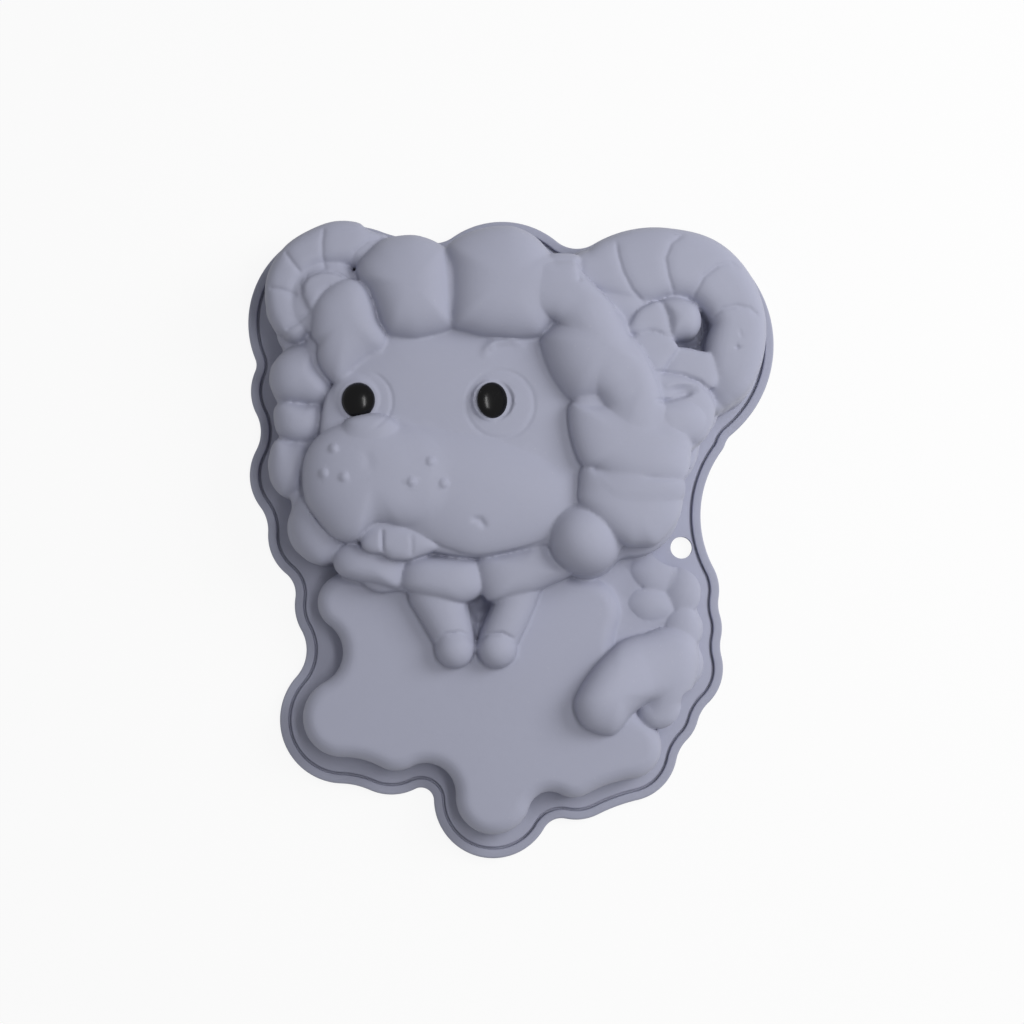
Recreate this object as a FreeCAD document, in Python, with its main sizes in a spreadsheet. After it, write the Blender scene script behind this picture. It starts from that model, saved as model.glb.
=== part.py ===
"""Silicone cake mould in the form of a horned ram over a five-armed star, lying mouth down.

The cavity opens downwards at z = 0, which is the plane of the rim, and the relief rises in +Z. +X is the
right side and +Y the top of the figure. A one-piece shell carries the relief, its flange and a thin tongue.
A stiff ring lies round the tongue and carries the flange when the mould is filled. Two glossy eye plugs sit
in holes in the shell. All sizes are in millimetres.
"""
import FreeCAD, Part
import math
import os

from FreeCAD import Rotation, Vector

doc = FreeCAD.newDocument("CakeMould")

# Driving sizes. Each one can be changed by itself.
SIZES = {
    "mould_width": 208,
    "mould_length": 250,
    "relief_height": 48,
    "wall": 2,
    "flange_thickness": 3,
    "tongue_thickness": 1.2,
    "ring_width": 3.4,
    "ring_height": 4,
    "ring_wall": 1.2,
    "ring_clearance": 0.4,
    "ring_bevel": 0.8,
    "groove_gap": 0.8,
    "star_height": 20,
    "body_height": 22,
    "head_height": 27,
    "edge_bevel": 2.4,
    "storey_step": 0.6,
    "storey_bevel": 4.5,
    "face_crown": 8,
    "leg_diameter": 15,
    "bib_diameter": 16,
    "haunch_diameter": 26,
    "hole_diameter": 8.6,
    "eye_diameter": 12.8,
    "eye_height": 4,
    "eye_land": 2.2,
    "eye_mound": 3.6,
    "stem_diameter": 6.6,
    "stem_clearance": 0.2,
    "button_diameter": 9.6,
    "button_thickness": 1.6,
    "overrun": 2,
}

# The rim and the star are closed chains of discs. A hollow arc joins each disc to the next one, tangent to both.
# A row is the disc's x as a share of the width, its y as a share of the length, and its radius and the radius
# of the hollow that follows as shares of the mean of the two. The chains run counter-clockwise.
RIM_SHARES = {
    "right_horn": (0.2720, 0.3030, 0.2040, 0.055),
    "top_curl": (-0.0190, 0.3640, 0.1470, 0.055),
    "brow_curl": (-0.2080, 0.3690, 0.1130, 0.180),
    "left_horn": (-0.3150, 0.3380, 0.1690, 0.027),
    "cheek_curl": (-0.4000, 0.2285, 0.0860, 0.068),
    "jaw_curl": (-0.3950, 0.0955, 0.0910, 0.068),
    "throat_curl": (-0.3655, 0.0010, 0.0855, 0.045),
    "star_shoulder": (-0.3140, -0.1085, 0.0855, 0.068),
    "star_side": (-0.3145, -0.2860, 0.1085, 0.130),
    "star_flank": (-0.2250, -0.3200, 0.0900, 0.022),
    "star_foot": (-0.0355, -0.4085, 0.1000, 0.034),
    "star_heel": (0.1190, -0.3640, 0.0840, 0.300),
    "star_hand": (0.2130, -0.3330, 0.0870, 0.068),
    "fleece_low": (0.2715, -0.2720, 0.0712, 0.068),
    "fleece_mid": (0.3055, -0.2065, 0.0817, 0.068),
    "fleece_top": (0.3115, -0.1445, 0.0750, 0.068),
    "hole_side": (0.3010, -0.0850, 0.0804, 0.190),
    "ear": (0.3630, 0.1540, 0.0377, 0.036),
}
STAR_SHARES = {
    "shoulder": (-0.3060, -0.1050, 0.0486, 0.055),
    "side": (-0.3120, -0.2810, 0.0663, 0.130),
    "flank": (-0.2130, -0.3130, 0.0540, 0.050),
    "foot": (-0.0345, -0.4015, 0.0627, 0.036),
    "heel": (0.1130, -0.3620, 0.0450, 0.200),
    "hand": (0.2150, -0.3250, 0.0545, 0.140),
    "arm": (0.1340, -0.1205, 0.0600, 0.060),
    "breast": (0.0560, -0.0860, 0.0480, 0.060),
    "chest": (-0.1060, -0.1060, 0.1000, 0.200),
}

# Scalloped plates that carry the head and the body, as chains like the rim.
HEAD_SHARES = {
    "cheek": (0.2400, 0.1400, 0.0950, 0.030),
    "ear": (0.3320, 0.1830, 0.0415, 0.030),
    "horn_low": (0.3860, 0.2475, 0.0585, 0.040),
    "horn_side": (0.3980, 0.3040, 0.0615, 0.040),
    "horn_turn": (0.3760, 0.3575, 0.0650, 0.040),
    "horn_top": (0.3120, 0.3910, 0.0720, 0.040),
    "horn_rise": (0.2320, 0.3910, 0.0720, 0.040),
    "horn_root": (0.1560, 0.3755, 0.0700, 0.030),
    "curl_crown": (-0.0160, 0.3695, 0.0950, 0.022),
    "curl_brow": (-0.1840, 0.3620, 0.0840, 0.030),
    "small_horn_root": (-0.2550, 0.4080, 0.0510, 0.040),
    "small_horn_rise": (-0.3040, 0.4200, 0.0490, 0.040),
    "small_horn_top": (-0.3585, 0.4150, 0.0490, 0.040),
    "small_horn_turn": (-0.4000, 0.3860, 0.0475, 0.040),
    "small_horn_side": (-0.4070, 0.3440, 0.0430, 0.030),
    "small_horn_low": (-0.3955, 0.3060, 0.0350, 0.014),
    "tuft_upper": (-0.3830, 0.2325, 0.0560, 0.014),
    "tuft_middle": (-0.3835, 0.1750, 0.0480, 0.014),
    "tuft_lower": (-0.3920, 0.1045, 0.0510, 0.030),
    "tuft_throat": (-0.3465, 0.0080, 0.0590, 0.030),
    "bib_left": (-0.2350, -0.0500, 0.0450, 0.060),
    "bib_middle": (-0.1260, -0.0720, 0.0480, 0.060),
    "bib_right": (0.0230, -0.0560, 0.0450, 0.030),
    "curl_chin": (0.1360, -0.0160, 0.0580, 0.030),
    "curl_neck": (0.2165, 0.0390, 0.0830, 0.030),
}
BODY_SHARES = {
    "belly_low": (0.1900, -0.2500, 0.0560, 0.120),
    "ripple_low": (0.2620, -0.2600, 0.0420, 0.018),
    "ripple_middle": (0.3030, -0.1995, 0.0470, 0.018),
    "ripple_upper": (0.3070, -0.1450, 0.0430, 0.018),
    "ripple_top": (0.3010, -0.0920, 0.0430, 0.060),
    "shoulder": (0.1900, -0.0500, 0.0620, 0.200),
}

# Upper storeys on the head plate. Each follows discs of the head's outline, a step further in, with its own
# radii of the hollows between them. The widest hollow is the inner side of the horn, or the edge of the face.
STOREY_SHARES = {
    "fleece": {"cheek": 0.150, "horn_root": 0.030, "curl_crown": 0.022, "curl_brow": 0.197,
               "curl_neck": 0.030},
    "large_horn": {"horn_low": 0.040, "horn_side": 0.040, "horn_turn": 0.040, "horn_top": 0.040,
                   "horn_rise": 0.040, "horn_root": 0.070},
    "small_horn": {"small_horn_root": 0.040, "small_horn_rise": 0.040, "small_horn_top": 0.040,
                   "small_horn_turn": 0.040, "small_horn_side": 0.030, "small_horn_low": 0.048},
}
STOREY_TOP_SHARES = {"fleece": 0.840, "large_horn": 0.860, "small_horn": 0.790}

# Crowns of the rounded forms on the head plate. A row is x as a share of the width, y as a share of the
# length, the radius as a share of their mean, and the top as a share of the height of the relief.
CROWN_PLACE_SHARES = {
    "curl_brow": (-0.1920, 0.3680, 0.0860, 0.940),
    "curl_crown": (-0.0090, 0.3740, 0.0960, 0.980),
    "curl_side": (0.1020, 0.3600, 0.0610, 0.890),
    "curl_temple": (0.1470, 0.2790, 0.0950, 1.000),
    "curl_cheek": (0.2170, 0.1440, 0.0970, 0.925),
    "curl_neck": (0.2150, 0.0430, 0.0800, 0.895),
    "curl_chin": (0.1360, -0.0150, 0.0570, 0.920),
    "lock_upper": (-0.2940, 0.3320, 0.0600, 0.870),
    "lock_lower": (-0.3000, 0.2780, 0.0500, 0.820),
    "tuft_upper": (-0.3830, 0.2325, 0.0540, 0.660),
    "tuft_middle": (-0.3835, 0.1775, 0.0450, 0.620),
    "tuft_lower": (-0.3940, 0.1045, 0.0480, 0.620),
    "tuft_throat": (-0.3460, 0.0110, 0.0570, 0.655),
    "coil_bed": (0.2850, 0.2850, 0.0620, 0.770),
    "coil_low": (0.3230, 0.2520, 0.0400, 0.790),
    "coil_left": (0.2570, 0.2700, 0.0420, 0.820),
    "coil_top": (0.2540, 0.3170, 0.0390, 0.830),
    "coil_tip": (0.3080, 0.3235, 0.0323, 0.875),
    "small_coil": (-0.3420, 0.3660, 0.0350, 0.820),
    "muzzle_front": (-0.2830, 0.0680, 0.0820, 0.905),
    "muzzle_middle": (-0.1850, 0.0710, 0.0850, 0.920),
    "muzzle_back": (-0.0850, 0.0590, 0.0810, 0.840),
    "muzzle_end": (-0.0150, 0.0490, 0.0620, 0.740),
    "muzzle_top": (-0.2400, 0.1120, 0.0680, 0.890),
    "nose_left": (-0.2750, 0.1470, 0.0240, 0.945),
    "nose_right": (-0.2370, 0.1490, 0.0240, 0.945),
    "ear_root": (0.2960, 0.1940, 0.0480, 0.815),
    "ear_end": (0.3320, 0.1830, 0.0395, 0.760),
}
FACE_SHARES = (-0.0967, 0.1307, 0.2080, 0.755)
# Crowns on the star, in the same shares.
HOOF_SHARES = {
    "hoof_left": (-0.1020, -0.1745, 0.0340, 0.625),
    "hoof_right": (-0.0272, -0.1745, 0.0340, 0.625),
}

# Rounded bars that lie level. A row is the x and y of each end and the height of the top, in the same shares
# as above, and the size that gives the thickness.
BAR_SHARES = {
    "foreleg_left": (-0.1420, -0.0900, -0.1090, -0.1530, 0.610, "leg_diameter"),
    "foreleg_right": (0.0060, -0.0900, -0.0210, -0.1530, 0.610, "leg_diameter"),
    "bib_left": (-0.2950, -0.0380, -0.2200, -0.0580, 0.650, "bib_diameter"),
    "bib_middle": (-0.1560, -0.0680, -0.0970, -0.0700, 0.675, "bib_diameter"),
    "bib_right": (-0.0220, -0.0640, 0.0660, -0.0430, 0.690, "bib_diameter"),
    "haunch": (0.2600, -0.2030, 0.1800, -0.2530, 0.650, "haunch_diameter"),
}

# Profiles. A row is the share of the radius and the share of the rise or of the reach.
CROWN_SHARES = ((0.94, 0.40), (0.64, 0.86), (0.26, 1.00))
SMALL_CROWN_SHARES = ((0.94, 0.40), (0.46, 1.00))
CAVITY_CROWN_SHARES = ((0.90, 0.50), (0.40, 1.00))
FACE_CROWN_SHARES = ((1.00, 0.00), (0.78, 0.60), (0.40, 1.00))
# Crowns with a smaller share of a radius are plainer, and solid inside.
SMALL_FORM_SHARE = 0.064
BAR_END_SHARES = ((0.55, 0.85), (1.00, 0.00))
EYE_SHAPE_SHARES = ((1.00, 0.00), (0.84, 0.62), (0.34, 1.00))
HOLE_SHARES = (0.3192, -0.0188)
EYE_SHARES = {
    "eye_left": (-0.2770, 0.1956),
    "eye_right": (-0.0351, 0.1956),
}
EYE_SEAT_SHARE = 0.77

sheet = doc.addObject("Spreadsheet::Sheet", "Sizes")
for row_number, (alias, number) in enumerate(SIZES.items(), start=1):
    sheet.set(f"A{row_number}", alias)
    sheet.set(f"B{row_number}", str(number))
    sheet.setAlias(f"B{row_number}", alias)
doc.recompute()


def size(alias):
    """Current value of a driving size."""
    return float(sheet.get(alias))


def mean_size():
    """Mean of the width and the length, which radii follow."""
    return (size("mould_width") + size("mould_length")) / 2


def bind(target, expressions):
    """Ties properties of an object to the sheet."""
    for name, expression in expressions.items():
        target.setExpression(name, expression)
    return target


def at(x_share, y_share, height):
    """Expressions that place an object at shares of the width and the length, and at a height."""
    return {
        "Placement.Base.x": f"Sizes.mould_width * {x_share}",
        "Placement.Base.y": f"Sizes.mould_length * {y_share}",
        "Placement.Base.z": height,
    }


def join(name, parts):
    """One solid from several that overlap."""
    whole = doc.addObject("Part::MultiFuse", name)
    whole.Shapes = parts
    return whole


def cut(name, base, tool):
    """The base without the tool."""
    rest = doc.addObject("Part::Cut", name)
    rest.Base = base
    rest.Tool = tool
    return rest


# Outlines of arcs

def discs_of(rows):
    """Centre, radius and following hollow of each disc, in millimetres."""
    width, length, mean = size("mould_width"), size("mould_length"), mean_size()
    return [(Vector(x * width, y * length, 0), radius * mean, hollow * mean)
            for x, y, radius, hollow in rows.values()]


def hollow_centre(disc, following):
    """Centre of the hollow arc that touches two discs from outside the chain."""
    start, radius, hollow = disc
    end, next_radius, _ = following
    along = end - start
    distance = along.Length
    reach, next_reach = radius + hollow, next_radius + hollow
    foot = (distance ** 2 + reach ** 2 - next_reach ** 2) / (2 * distance)
    along.normalize()
    outward = Vector(along.y, -along.x, 0)
    return start + along * foot + outward * math.sqrt(reach ** 2 - foot ** 2)


def arc_about(centre, radius, first, last):
    """Counter-clockwise arc about a centre, from the direction of one point to that of another."""
    start = math.atan2(first.y - centre.y, first.x - centre.x)
    end = math.atan2(last.y - centre.y, last.x - centre.x)
    if end < start:
        end += 2 * math.pi
    return Part.ArcOfCircle(Part.Circle(centre, Vector(0, 0, 1), radius), start, end)


def outline(name, rows, inset):
    """Sketch of a chain of discs, moved inwards by the inset."""
    sketch = doc.addObject("Sketcher::SketchObject", name)
    discs = discs_of(rows)
    followers = discs[1:] + discs[:1]
    centres = [hollow_centre(disc, follower) for disc, follower in zip(discs, followers)]
    for index, (centre, radius, hollow) in enumerate(discs):
        before, after = centres[index - 1], centres[index]
        following = followers[index][0]
        sketch.addGeometry(arc_about(centre, radius - inset, before, after), False)
        sketch.addGeometry(arc_about(after, hollow + inset, following, centre), False)
    return sketch


def plate(name, rows, inset, bottom, top):
    """Plate with the outline of a chain, between two heights given as expressions."""
    solid = doc.addObject("Part::Extrusion", name)
    solid.Base = outline(name + "_outline", rows, inset)
    solid.DirMode = "Normal"
    solid.Solid = True
    return bind(solid, {"LengthFwd": f"{top} - ({bottom})", "Placement.Base.z": bottom})


def bevel_top(name, base, width):
    """The base with its topmost edges bevelled."""
    doc.recompute()
    top = base.Shape.BoundBox.ZMax
    picks = [number for number, edge in enumerate(base.Shape.Edges, start=1)
             if math.isclose(edge.CenterOfMass.z, top)]
    bevelled = doc.addObject("Part::Chamfer", name)
    bevelled.Base = base
    bevelled.Edges = [(number, width, width) for number in picks]
    return bevelled


# Forms of the relief. Each is made twice: as it is, and drawn in by the wall for the cavity.

def turned(name, points, x_share, y_share):
    """Solid made by turning a profile of radii and heights about the upright line through its place."""
    sketch = doc.addObject("Sketcher::SketchObject", name + "_profile")
    corners = [Vector(radius, height, 0) for radius, height in points]
    for corner, following in zip(corners, corners[1:] + corners[:1]):
        sketch.addGeometry(Part.LineSegment(corner, following), False)
    sketch.Placement.Rotation = Rotation(Vector(1, 0, 0), 90)
    bind(sketch, at(x_share, y_share, "0"))
    form = doc.addObject("Part::Revolution", name)
    form.Source = sketch
    form.Axis = Vector(0, 0, 1)
    form.Angle = 360
    form.Solid = True
    return bind(form, {
        "Base.x": f"Sizes.mould_width * {x_share}",
        "Base.y": f"Sizes.mould_length * {y_share}",
    })


def crown_profile(radius_share, shrink):
    """Profile that suits a crown of that size, outside or in the cavity."""
    if shrink:
        return CAVITY_CROWN_SHARES
    return SMALL_CROWN_SHARES if radius_share < SMALL_FORM_SHARE else CROWN_SHARES


def crown(name, shares, shrink, seat, rise, profile):
    """Rounded form that stands in the top of a plate and is crowned by the rise."""
    x_share, y_share, radius_share, top_share = shares
    middle = size("relief_height") * top_share - rise
    top = size("relief_height") * top_share - shrink
    bottom = seat - shrink - size("overrun")
    across = mean_size() * radius_share - shrink
    curve = [(across * out, middle + (top - middle) * up) for out, up in profile]
    side = curve[0][0]
    return turned(name, [(0, bottom), (side, bottom)] + curve + [(0, top)], x_share, y_share)


def bar(name, shares, shrink):
    """Level bar with rounded ends, turned about the line through its two places."""
    x1, y1, x2, y2, top_share, thickness = shares
    width, length = size("mould_width"), size("mould_length")
    start, end = Vector(x1 * width, y1 * length, 0), Vector(x2 * width, y2 * length, 0)
    radius = size(thickness) / 2 - shrink
    reach = (end - start).Length
    first = [(radius * across, -radius * out) for across, out in BAR_END_SHARES]
    last = [(across, reach - along) for across, along in reversed(first)]
    form = turned(name, [(0, first[0][1])] + first + last + [(0, last[-1][1])], x1, y1)
    level = doc.addObject("Part::Compound", name + "_level")
    level.Links = [form]
    height = size("relief_height") * top_share - size(thickness) / 2
    level.Placement = lay_down(start, end - start, height)
    return level


def lay_down(start, along, height):
    """Placement that turns a form standing at a place to lie along a line at a height."""
    turn = Rotation(Vector(0, 0, 1), along)
    return FreeCAD.Placement(start + Vector(0, 0, height) - turn.multVec(start), turn)


def eye_mound(name, shares, shrink, seat):
    """Mound with a flat land that the head of an eye plug rests on."""
    land = size("eye_diameter") / 2 + size("eye_land") - shrink
    top = size("relief_height") * EYE_SEAT_SHARE - shrink
    slope = size("eye_mound")
    bottom = seat - shrink - size("overrun")
    side = [(0, bottom), (land + slope, bottom), (land + slope, top - slope)]
    return turned(name, side + [(land, top), (0, top)], *shares)


def storeys(name, shrink, bottom, lowered):
    """Scalloped storeys of the fleece and the horns, on the head plate."""
    parts = []
    for storey, hollows in STOREY_SHARES.items():
        rows = {disc: HEAD_SHARES[disc][:-1] + (hollow,) for disc, hollow in hollows.items()}
        top = f"Sizes.relief_height * {STOREY_TOP_SHARES[storey]}{lowered}"
        slab = plate(f"{name}_{storey}_slab", rows, shrink + size("storey_step"), bottom, top)
        parts.append(bevel_top(f"{name}_{storey}", slab, size("storey_bevel") - shrink / 2))
    return parts


def relief(name, shrink, bottom):
    """All forms of the relief as one solid, as they are outside or drawn in by the wall."""
    lowered = " - Sizes.wall" if shrink else ""
    outlines = {"star": STAR_SHARES, "body": BODY_SHARES, "head": HEAD_SHARES}
    parts = []
    for plate_name, rows in outlines.items():
        top = f"Sizes.{plate_name}_height{lowered}"
        slab = plate(f"{name}_{plate_name}_slab", rows, shrink, bottom, top)
        parts.append(bevel_top(f"{name}_{plate_name}", slab, size("edge_bevel") - shrink / 2))
    parts += storeys(name, shrink, bottom, lowered)
    for seat, group in (("head_height", CROWN_PLACE_SHARES), ("star_height", HOOF_SHARES)):
        for form, shares in group.items():
            if shrink == 0 or shares[2] >= SMALL_FORM_SHARE:
                rise = mean_size() * shares[2]
                profile = crown_profile(shares[2], shrink)
                parts.append(crown(f"{name}_{form}", shares, shrink, size(seat), rise, profile))
    for form, shares in BAR_SHARES.items():
        parts.append(bar(f"{name}_{form}", shares, shrink))
    for form, shares in EYE_SHARES.items():
        parts.append(eye_mound(f"{name}_{form}_mound", shares, shrink, size("head_height")))
    face = (FACE_SHARES, shrink, size("head_height"), size("face_crown"), FACE_CROWN_SHARES)
    parts.append(crown(f"{name}_face", *face))
    return join(name, parts)


def eye_plug(name, shares):
    """Glossy domed head, a stem through the wall and a button that holds it from inside."""
    seat = size("relief_height") * EYE_SEAT_SHARE
    head, stem, button = size("eye_diameter") / 2, size("stem_diameter") / 2, size("button_diameter") / 2
    inside = seat - size("wall")
    end = inside - size("button_thickness")
    dome_profile = [(head * across, seat + size("eye_height") * up) for across, up in EYE_SHAPE_SHARES]
    lower = [(0, end), (button, end), (button, inside), (stem, inside), (stem, seat)]
    return turned(name, lower + dome_profile + [(0, seat + size("eye_height"))], *shares)


def mould_body():
    """Shell with its flange and tongue, open below, with the hang hole and the holes of the eye plugs."""
    edge = size("ring_width") + size("groove_gap")
    tongue_edge = size("ring_wall") + size("ring_clearance")
    wall, overrun = size("wall"), size("overrun")
    flange = plate("flange", RIM_SHARES, edge, "0", "Sizes.flange_thickness")
    tongue = plate("tongue", RIM_SHARES, tongue_edge, "0", "Sizes.tongue_thickness")
    outer = relief("outer", 0, "0")
    inner = relief("inner", wall, "-Sizes.overrun")
    seat = size("relief_height") * EYE_SEAT_SHARE
    above = size("flange_thickness") + overrun
    holes = [pin("hang_hole", size("hole_diameter"), HOLE_SHARES, -overrun, above)]
    for form, shares in EYE_SHARES.items():
        across = size("stem_diameter") + 2 * size("stem_clearance")
        holes.append(pin(form + "_hole", across, shares, seat - wall - overrun, seat + overrun))
    blank = join("blank", [outer, flange, tongue])
    return cut("mould_body", cut("shell", blank, inner), join("holes", holes))


def pin(name, diameter, shares, bottom, top):
    """Upright cylinder that cuts a hole."""
    return turned(name, [(0, bottom), (diameter / 2, bottom), (diameter / 2, top), (0, top)], *shares)


def support_ring():
    """Ring whose shelf lies on the tongue and whose outer wall goes round the tongue's edge."""
    below, above = "-Sizes.overrun", "Sizes.ring_height + Sizes.overrun"
    outer = plate("ring_outer", RIM_SHARES, 0, "0", "Sizes.ring_height")
    inner = plate("ring_inner", RIM_SHARES, size("ring_width"), below, above)
    recess = plate("ring_recess", RIM_SHARES, size("ring_wall"), below, "Sizes.tongue_thickness")
    bevelled = bevel_top("ring_bevelled", outer, size("ring_bevel"))
    return cut("support_ring", bevelled, join("ring_space", [inner, recess]))


sub_parts = [mould_body(), support_ring()]
for plug, places in EYE_SHARES.items():
    sub_parts.append(eye_plug(plug, places))
for piece in sub_parts:
    piece.Label = piece.Name
doc.recompute()

for item in doc.Objects:
    if "Invalid" in item.State or "Error" in item.State:
        raise RuntimeError(f"{item.Name} failed: {item.State}")
for piece in sub_parts:
    if piece.Shape.isNull() or not piece.Shape.isValid():
        raise RuntimeError(f"{piece.Label} has no valid shape")
    print(piece.Label, len(piece.Shape.Solids), "solid,", round(piece.Shape.Volume), "mm3")

os.makedirs("parts", exist_ok=True)
for piece in sub_parts:
    piece.Shape.exportStep(f"parts/{piece.Label}.step")
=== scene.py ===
"""Looks of a silicone cake mould in the form of a horned ram over a star, lying mouth down.

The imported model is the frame: the rim plane is z = 0, +Z rises out of the relief and +Y is the top of the
figure. Pieces are shaped in millimetres and turned into metres when they are finished. The relief is built
from rounded forms that are melted into one skin, carved, and hollowed by the thickness of the wall.
"""
import logging
import math
from dataclasses import dataclass
from enum import Enum

import bmesh
import bpy
import numpy as np
from mathutils import Matrix, Vector


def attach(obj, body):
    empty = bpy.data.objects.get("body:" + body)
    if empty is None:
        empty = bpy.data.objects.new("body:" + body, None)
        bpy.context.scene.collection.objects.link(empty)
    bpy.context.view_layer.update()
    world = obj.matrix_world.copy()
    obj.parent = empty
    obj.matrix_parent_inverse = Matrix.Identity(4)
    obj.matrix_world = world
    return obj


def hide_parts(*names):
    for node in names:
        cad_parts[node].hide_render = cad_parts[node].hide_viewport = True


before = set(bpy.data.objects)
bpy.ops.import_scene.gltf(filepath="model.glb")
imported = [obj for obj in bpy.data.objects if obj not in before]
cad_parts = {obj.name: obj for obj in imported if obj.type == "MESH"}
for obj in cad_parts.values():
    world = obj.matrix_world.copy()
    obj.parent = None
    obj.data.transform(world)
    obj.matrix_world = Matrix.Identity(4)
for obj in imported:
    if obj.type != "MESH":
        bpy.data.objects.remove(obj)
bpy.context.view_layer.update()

LOG = logging.getLogger("cake_mould")
METRES = 0.001

MOULD_WIDTH = 208.0
MOULD_LENGTH = 250.0
MEAN_SIZE = (MOULD_WIDTH + MOULD_LENGTH) / 2
BELOW = -6.0
NOWHERE = -99.0
BLOCK_SIZE = (40.0, 400.0)

QUARTER = math.pi / 2
WHOLE = 2 * math.pi
WELD = 1e-4
ARCH_STEPS = 14
OUTLINE_STEPS = 96
INNERMOST_SHARE = 0.02
SECTION_STEPS = 18
END_STEPS = 10
END_ROUND_STEPS = 40
ROUND_STEPS = 48
PIN_STEPS = 64
PLATE_STEPS = 8
DOME_STEPS = 16
DOME_ROUND_STEPS = 72
CREASE = 50.0
PLUG_CREASE = 45.0

WHITE = (1.0, 1.0, 1.0, 1.0)
DUST_TINT = (0.62, 0.62, 0.64, 1.0)
DUST_LEVEL = 0.56
SPECK_RADIUS = 0.09
ROUGHNESS_SWING = 0.12

Row = tuple[float, float]
Spot = tuple[float, float, float]


# Sight and measures

@dataclass(frozen=True)
class Sight:
    """The camera over the mould, which also places what is read off the photograph in picture units."""

    distance: float = 700.0
    tilt: float = math.radians(4.0)
    scale: float = 0.394
    aim: float = 9.5
    picture: float = 1024.0
    sensor: float = 36.0
    nearest: float = 0.01

    @property
    def focal(self) -> float:
        """Focal length in picture units."""
        return self.distance / self.scale

    def place(self, across: float, down: float, height: float) -> Vector:
        """Finds the place that a picture point shows at a height.

        Args:
            across: picture units from the left edge.
            down: picture units from the top edge.
            height: millimetres above the rim plane.

        Returns:
            The place in millimetres.
        """
        slope = (self.picture / 2 - down) / self.focal
        sine, cosine = math.sin(self.tilt), math.cos(self.tilt)
        y = (slope * (self.distance - height * cosine) - height * sine) / (cosine - slope * sine)
        depth = self.distance + y * sine - height * cosine
        return Vector(((across - self.picture / 2) / self.focal * depth, y + self.aim, height))

    def length(self, units: float, height: float) -> float:
        """Millimetres that a length in picture units stands for at a height."""
        return units / self.focal * (self.distance - height)

    def camera(self) -> bpy.types.Object:
        """Makes the camera and hands it to the scene."""
        data = bpy.data.cameras.new("camera")
        data.sensor_width = self.sensor
        data.lens = self.focal * self.sensor / self.picture
        data.clip_start = self.nearest
        camera = bpy.data.objects.new("camera", data)
        back, up = self.distance * math.sin(self.tilt), self.distance * math.cos(self.tilt)
        camera.location = Vector((0.0, self.aim - back, up)) * METRES
        camera.rotation_euler = (self.tilt, 0.0, 0.0)
        bpy.context.scene.collection.objects.link(camera)
        bpy.context.scene.camera = camera
        return camera


SIGHT = Sight()


# Outlines

@dataclass(frozen=True)
class Disc:
    """Disc of an outline: place and radius, and the radius of the hollow arc that follows, all in shares."""

    x: float
    y: float
    radius: float
    hollow: float

    @property
    def centre(self) -> Vector:
        """Centre in millimetres."""
        return Vector((self.x * MOULD_WIDTH, self.y * MOULD_LENGTH))


@dataclass(frozen=True)
class ArcChain:
    """Closed outline of discs, each joined to the next by a hollow arc that touches both."""

    discs: tuple[Disc, ...]
    step: float = 1.0

    @classmethod
    def of(cls, *rows: tuple[float, float, float, float], step: float = 1.0) -> "ArcChain":
        """Makes a chain from the values of its discs."""
        return cls(tuple(Disc(*row) for row in rows), step)

    def hollow_centre(self, index: int) -> Vector:
        """Centre of the hollow arc between a disc and the next one."""
        disc, following = self.discs[index], self.discs[(index + 1) % len(self.discs)]
        along = following.centre - disc.centre
        distance = along.length
        reach = (disc.radius + disc.hollow) * MEAN_SIZE
        next_reach = (following.radius + disc.hollow) * MEAN_SIZE
        foot = (distance ** 2 + reach ** 2 - next_reach ** 2) / (2 * distance)
        along.normalize()
        outward = Vector((along.y, -along.x))
        return disc.centre + along * foot + outward * math.sqrt(reach ** 2 - foot ** 2)

    def arc(self, centre: Vector, radius: float, first: Vector, last: Vector, inset: float) -> list[Vector]:
        """Points of an arc about a centre, from the direction of one point to that of another.

        Args:
            centre: centre of the arc.
            radius: radius before the inset, which sets how many points there are.
            first: a point in the direction of the start.
            last: a point in the direction of the end.
            inset: change of the radius.

        Returns:
            The points, without the last one.
        """
        start = math.atan2(first.y - centre.y, first.x - centre.x)
        sweep = (math.atan2(last.y - centre.y, last.x - centre.x) - start) % WHOLE
        if radius < 0:
            sweep -= WHOLE
        count = max(2, round(abs(sweep * radius) / self.step))
        angles = (start + sweep * index / count for index in range(count))
        size = abs(radius) + inset
        return [centre + Vector((math.cos(angle), math.sin(angle))) * size for angle in angles]

    def points(self, inset: float) -> list[Vector]:
        """The outline moved inwards by the inset, always with the same number of points."""
        found: list[Vector] = []
        hollows = [self.hollow_centre(index) for index in range(len(self.discs))]
        for index, disc in enumerate(self.discs):
            following = self.discs[(index + 1) % len(self.discs)]
            before, after = hollows[index - 1], hollows[index]
            found += self.arc(disc.centre, disc.radius * MEAN_SIZE, before, after, -inset)
            found += self.arc(after, -disc.hollow * MEAN_SIZE, disc.centre, following.centre, inset)
        return found


RIM = ArcChain.of(
    (0.272, 0.303, 0.204, 0.055), (-0.019, 0.364, 0.147, 0.055), (-0.208, 0.369, 0.113, 0.18),
    (-0.315, 0.338, 0.169, 0.027), (-0.4, 0.2285, 0.086, 0.068), (-0.395, 0.0955, 0.091, 0.068),
    (-0.3655, 0.001, 0.0855, 0.045), (-0.314, -0.1085, 0.0855, 0.068), (-0.3145, -0.286, 0.1085, 0.13),
    (-0.225, -0.32, 0.09, 0.022), (-0.0355, -0.4085, 0.1, 0.034), (0.119, -0.364, 0.084, 0.3),
    (0.213, -0.333, 0.087, 0.068), (0.2715, -0.272, 0.0712, 0.068), (0.3055, -0.2065, 0.0817, 0.068),
    (0.3115, -0.1445, 0.075, 0.068), (0.301, -0.085, 0.0804, 0.19), (0.363, 0.154, 0.0377, 0.036),
    step=0.8)
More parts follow.
